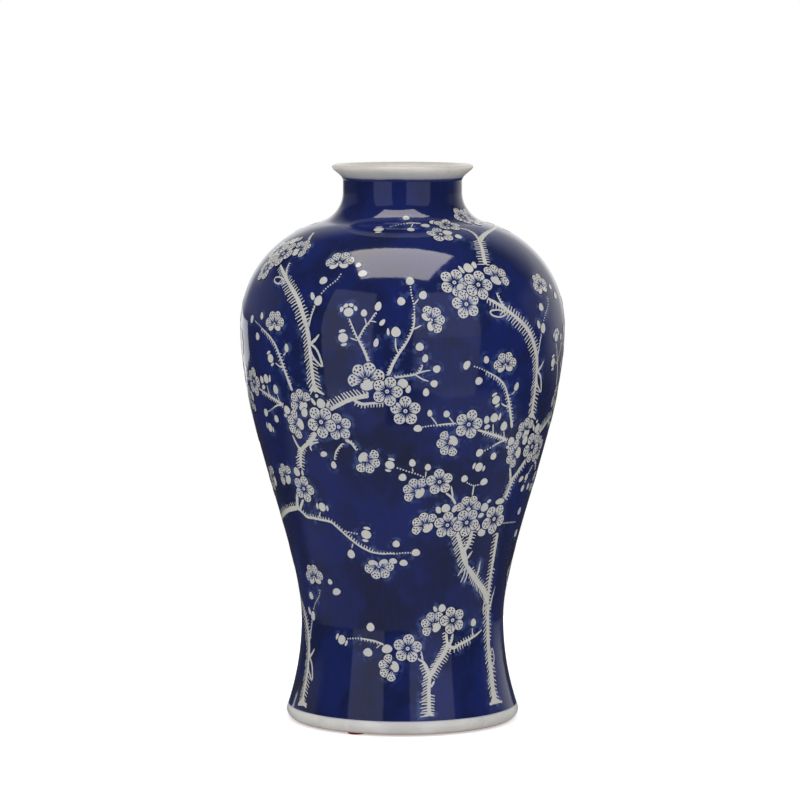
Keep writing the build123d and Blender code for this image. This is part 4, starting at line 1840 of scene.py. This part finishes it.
pads = []
for pad_number in (1, 2, 3):
    low, high = (Vector(corner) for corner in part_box(f"felt_pad_{pad_number}"))
    half = (high.x - low.x) / 2 / mm
    thick = (high.z - low.z) / mm
    outer = [(0.0, 0.0), (half * 0.5, 0.0), (half - 0.35, 0.0), (half - 0.08, 0.12), (half, thick * 0.4)]
    outer += [(half - 0.05, thick * 0.8), (half - 0.3, thick), (half * 0.5, thick), (0.0, thick)]
    pad = throw(f"felt_dot_{pad_number}", outer, [], felt.material, felt.material, pad_steps)
    middle = Vector(((low.x + high.x) / 2, (low.y + high.y) / 2, low.z))
    for vertex in pad.data.vertices:
        rim = min(1.0, math.hypot(vertex.co.x, vertex.co.y) / (half * mm))
        drawn_in = 1 - fuzz_depth * rim**6 * abs(noise.noise(vertex.co * fuzz_fineness))
        vertex.co = middle + Vector((vertex.co.x * drawn_in, vertex.co.y * drawn_in, vertex.co.z))
    pads.append(pad)
print("felt pads:", len(pads))

# %% [markdown]
# Putting the pieces on the frame
#
# Each dressed piece stands for the section that it covers, and the slip seams go with the walls that hide
# them. Felt this thin and dense hardly gives.

# %% Putting the pieces on the frame
stand_for = {
    foot: ("white_glaze", ["foot_ring", "foot_seam_slip"]),
    lower_body: ("blue_glaze", ["lower_body", "body_seam_slip"]),
    upper_body: ("blue_glaze", ["upper_body", "belly_seam_slip"]),
    shoulder: ("blue_glaze", ["shoulder", "neck_seam_slip", "neck", "rim_seam_slip"]),
    lip: ("white_glaze", ["mouth_rim"]),
    pads[0]: ("red_felt", ["felt_pad_1"]),
    pads[1]: ("red_felt", ["felt_pad_2"]),
    pads[2]: ("red_felt", ["felt_pad_3"]),
    painted["upper", "white"]: ("white_glaze", []),
    painted["lower", "white"]: ("white_glaze", []),
    painted["upper", "blue"]: ("blue_glaze", []),
    painted["lower", "blue"]: ("blue_glaze", []),
}
for piece, (finish_slot, nodes) in stand_for.items():
    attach(piece, "root")
    if nodes:
        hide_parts(*nodes)
for collection in stamp_sets.values():
    for stamp in list(collection.objects):
        bpy.data.objects.remove(stamp)
    bpy.data.collections.remove(collection)
bpy.data.objects.remove(ruler)
print("pieces on the frame:", len(stand_for))

# %% [markdown]
# The floor and the light
#
# The vase stands on a pale table in a studio. One broad soft box hangs overhead and leaves the slanted
# highlight on the shoulder, and two tall panels in front give the upright shines left and right. A low
# white card behind, on the left, leaves the pale streak along that edge of the belly. The room behind the
# camera is dim, so the cobalt stays deep. For the camera, the world and the table are white.

# %% The floor
table_radius = 0.42
table_steps = 96
table_white = (0.86, 0.86, 0.86, 1)
table_in_glaze_front = (0.25, 0.25, 0.25, 1)
table_in_glaze_back = (0.055, 0.055, 0.055, 1)
table_glow = 0.45

floor_mesh = bpy.data.meshes.new("table")
turns = [math.tau * step / table_steps for step in range(table_steps)]
ring = [(table_radius * math.cos(turn), table_radius * math.sin(turn), 0) for turn in turns]
floor_mesh.from_pydata(ring, [], [tuple(range(table_steps))])
floor = in_scene("table", floor_mesh)
table = Finish("pale_table", {"Roughness": 0.9, "Specular IOR Level": 0.0, "Emission Color": (1, 1, 1, 1)})
seen = table.add("ShaderNodeLightPath", {}).outputs
depth = table.parts(surface_place(table))[1]
in_front = faded(table, depth, -0.02, 0.15)
in_glaze = blended(table, in_front, table_in_glaze_back, table_in_glaze_front)
table.feed("Base Color", blended(table, seen["Is Glossy Ray"], table_white, in_glaze))
table.feed("Emission Strength", table.times(seen["Is Camera Ray"], table_glow))
floor_mesh.materials.append(table.material)
print("table", round(floor.dimensions.x, 2), "m across")


# %% The lamps
def soft_box(name, place, aim, wide, high, radiance, tone=(1, 1, 1), spin=0.0):
    """A soft box that looks at a point, with its brightness as seen, its tone and a spin in degrees."""
    data = bpy.data.lights.new(name, "AREA")
    data.shape = "RECTANGLE"
    data.size = wide
    data.size_y = high
    data.energy = radiance * math.pi * wide * high
    data.color = tone
    lamp = in_scene(name, data)
    lamp.location = place
    turn = (Vector(aim) - Vector(place)).to_track_quat("-Z", "Y")
    lamp.rotation_euler = (Quaternion((0, 0, 1), math.radians(spin)) @ turn).to_euler()
    return lamp


warm = (1.0, 0.94, 0.87)
cool = (0.97, 1.0, 1.32)
overhead = ((-0.043, -0.262, 1.25), (-0.043, -0.262, 0.3), 0.835, 0.715)
overhead_spin = -8
shine = soft_box("overhead_box", *overhead, 5.8, warm, overhead_spin)
shine.visible_diffuse = False
fill = soft_box("overhead_fill", *overhead, 3.0, warm, overhead_spin)
fill.visible_glossy = False
for name, across, back, up, wide, high, radiance in (
    ("left_panel", -0.903, -1.135, 0.75, 0.97, 1.5, 0.6),
    ("low_left_panel", -0.903, -1.135, -0.2, 0.97, 0.4, 0.46),
    ("right_panel", 0.743, -1.232, 0.825, 1.26, 1.35, 0.6),
    ("low_right_panel", 0.743, -1.232, -0.125, 1.26, 0.55, 0.42),
):
    soft_box(name, (across, back, up), (0, 0, up), wide, high, radiance, cool)
card_level = 0.098
card_height = 0.21
for name, across, back, wide, radiance in (
    ("left_card", -0.6205, 1.4305, 0.989, 0.45),
    ("left_card_bright_end", -0.786, 1.407, 0.665, 0.85),
):
    card = soft_box(name, (across, back, card_level), (-0.1, 0, card_level), wide, card_height, radiance)
    card.visible_camera = False
    card.visible_diffuse = False
print("lamps:", len(bpy.data.lights))

# %% [markdown]
# The room in the glaze
#
# A glazed vase mirrors the whole room, and most of the room is out of the picture. Modelling it would take
# many pieces that nobody sees, so the world's brightness is mixed from directions instead: the white paper
# behind, its bright middle, the lit side walls, and the edge of the table below with a gap where the camera
# stands. Plain light and the background each get one even brightness.

# %% The room in the glaze
even_light = 0.8
dim_room = 0.04
paper_light = 0.56
middle_light = 0.35
table_light = 0.28
wall_light = 0.17

world = bpy.data.worlds.new("studio")
world.use_nodes = True
bpy.context.scene.world = world
studio = Shading(world.node_tree)
backdrop = studio.nodes["Background"]
backdrop.inputs["Color"].default_value = (1, 1, 1, 1)
seen = studio.add("ShaderNodeLightPath", {}).outputs
across, back, up = studio.parts(studio.add("ShaderNodeTexCoord", {}).outputs["Generated"])
leftward = studio.times(studio.math("MINIMUM", across, 0.0), faded(studio, up, 0.12, 0.25))
rightward = studio.math("MAXIMUM", across, 0.0)
behind = studio.plus(studio.plus(back, leftward, 0.32), across, 0.18)
over_table = ranged(studio, studio.plus(up, rightward, 0.16), -0.12, 0.05)
paper = studio.times(ranged(studio, behind, 0.54, 0.94), over_table)
paper_middle = studio.times(ranged(studio, back, 0.9, 0.96), over_table)
beside = faded(studio, studio.plus(back, rightward, -0.35), 0.0, 0.5)
downward = studio.plus(up, studio.math("ABSOLUTE", across), -0.11)
in_gap = studio.times(ranged(studio, across, -0.22, -0.17), faded(studio, across, 0.08, 0.13))
camera_gap = studio.times(in_gap, faded(studio, back, -0.5, -0.3))
past_gap = studio.math("SUBTRACT", 1.0, camera_gap)
table_edge = studio.times(beside, faded(studio, downward, -0.5, -0.42), past_gap)
side_walls = studio.times(ranged(studio, back, 0.05, 0.25), ranged(studio, up, -0.08, 0.06))
side_walls = studio.times(side_walls, faded(studio, up, 0.3, 0.45))
mirrored = dim_room
for place, brightness in (
    (paper, paper_light), (paper_middle, middle_light), (table_edge, table_light), (side_walls, wall_light),
):
    mirrored = studio.plus(mirrored, place, brightness)
lit = studio.add("ShaderNodeMix", {0: seen["Is Glossy Ray"], 2: even_light, 3: mirrored}).outputs[0]
shown = studio.add("ShaderNodeMix", {0: seen["Is Camera Ray"], 2: lit, 3: 1.0}).outputs[0]
studio.links.new(shown, backdrop.inputs["Strength"])
bpy.context.scene.view_settings.view_transform = "Standard"
print("the room is mixed by", len(studio.nodes), "nodes")
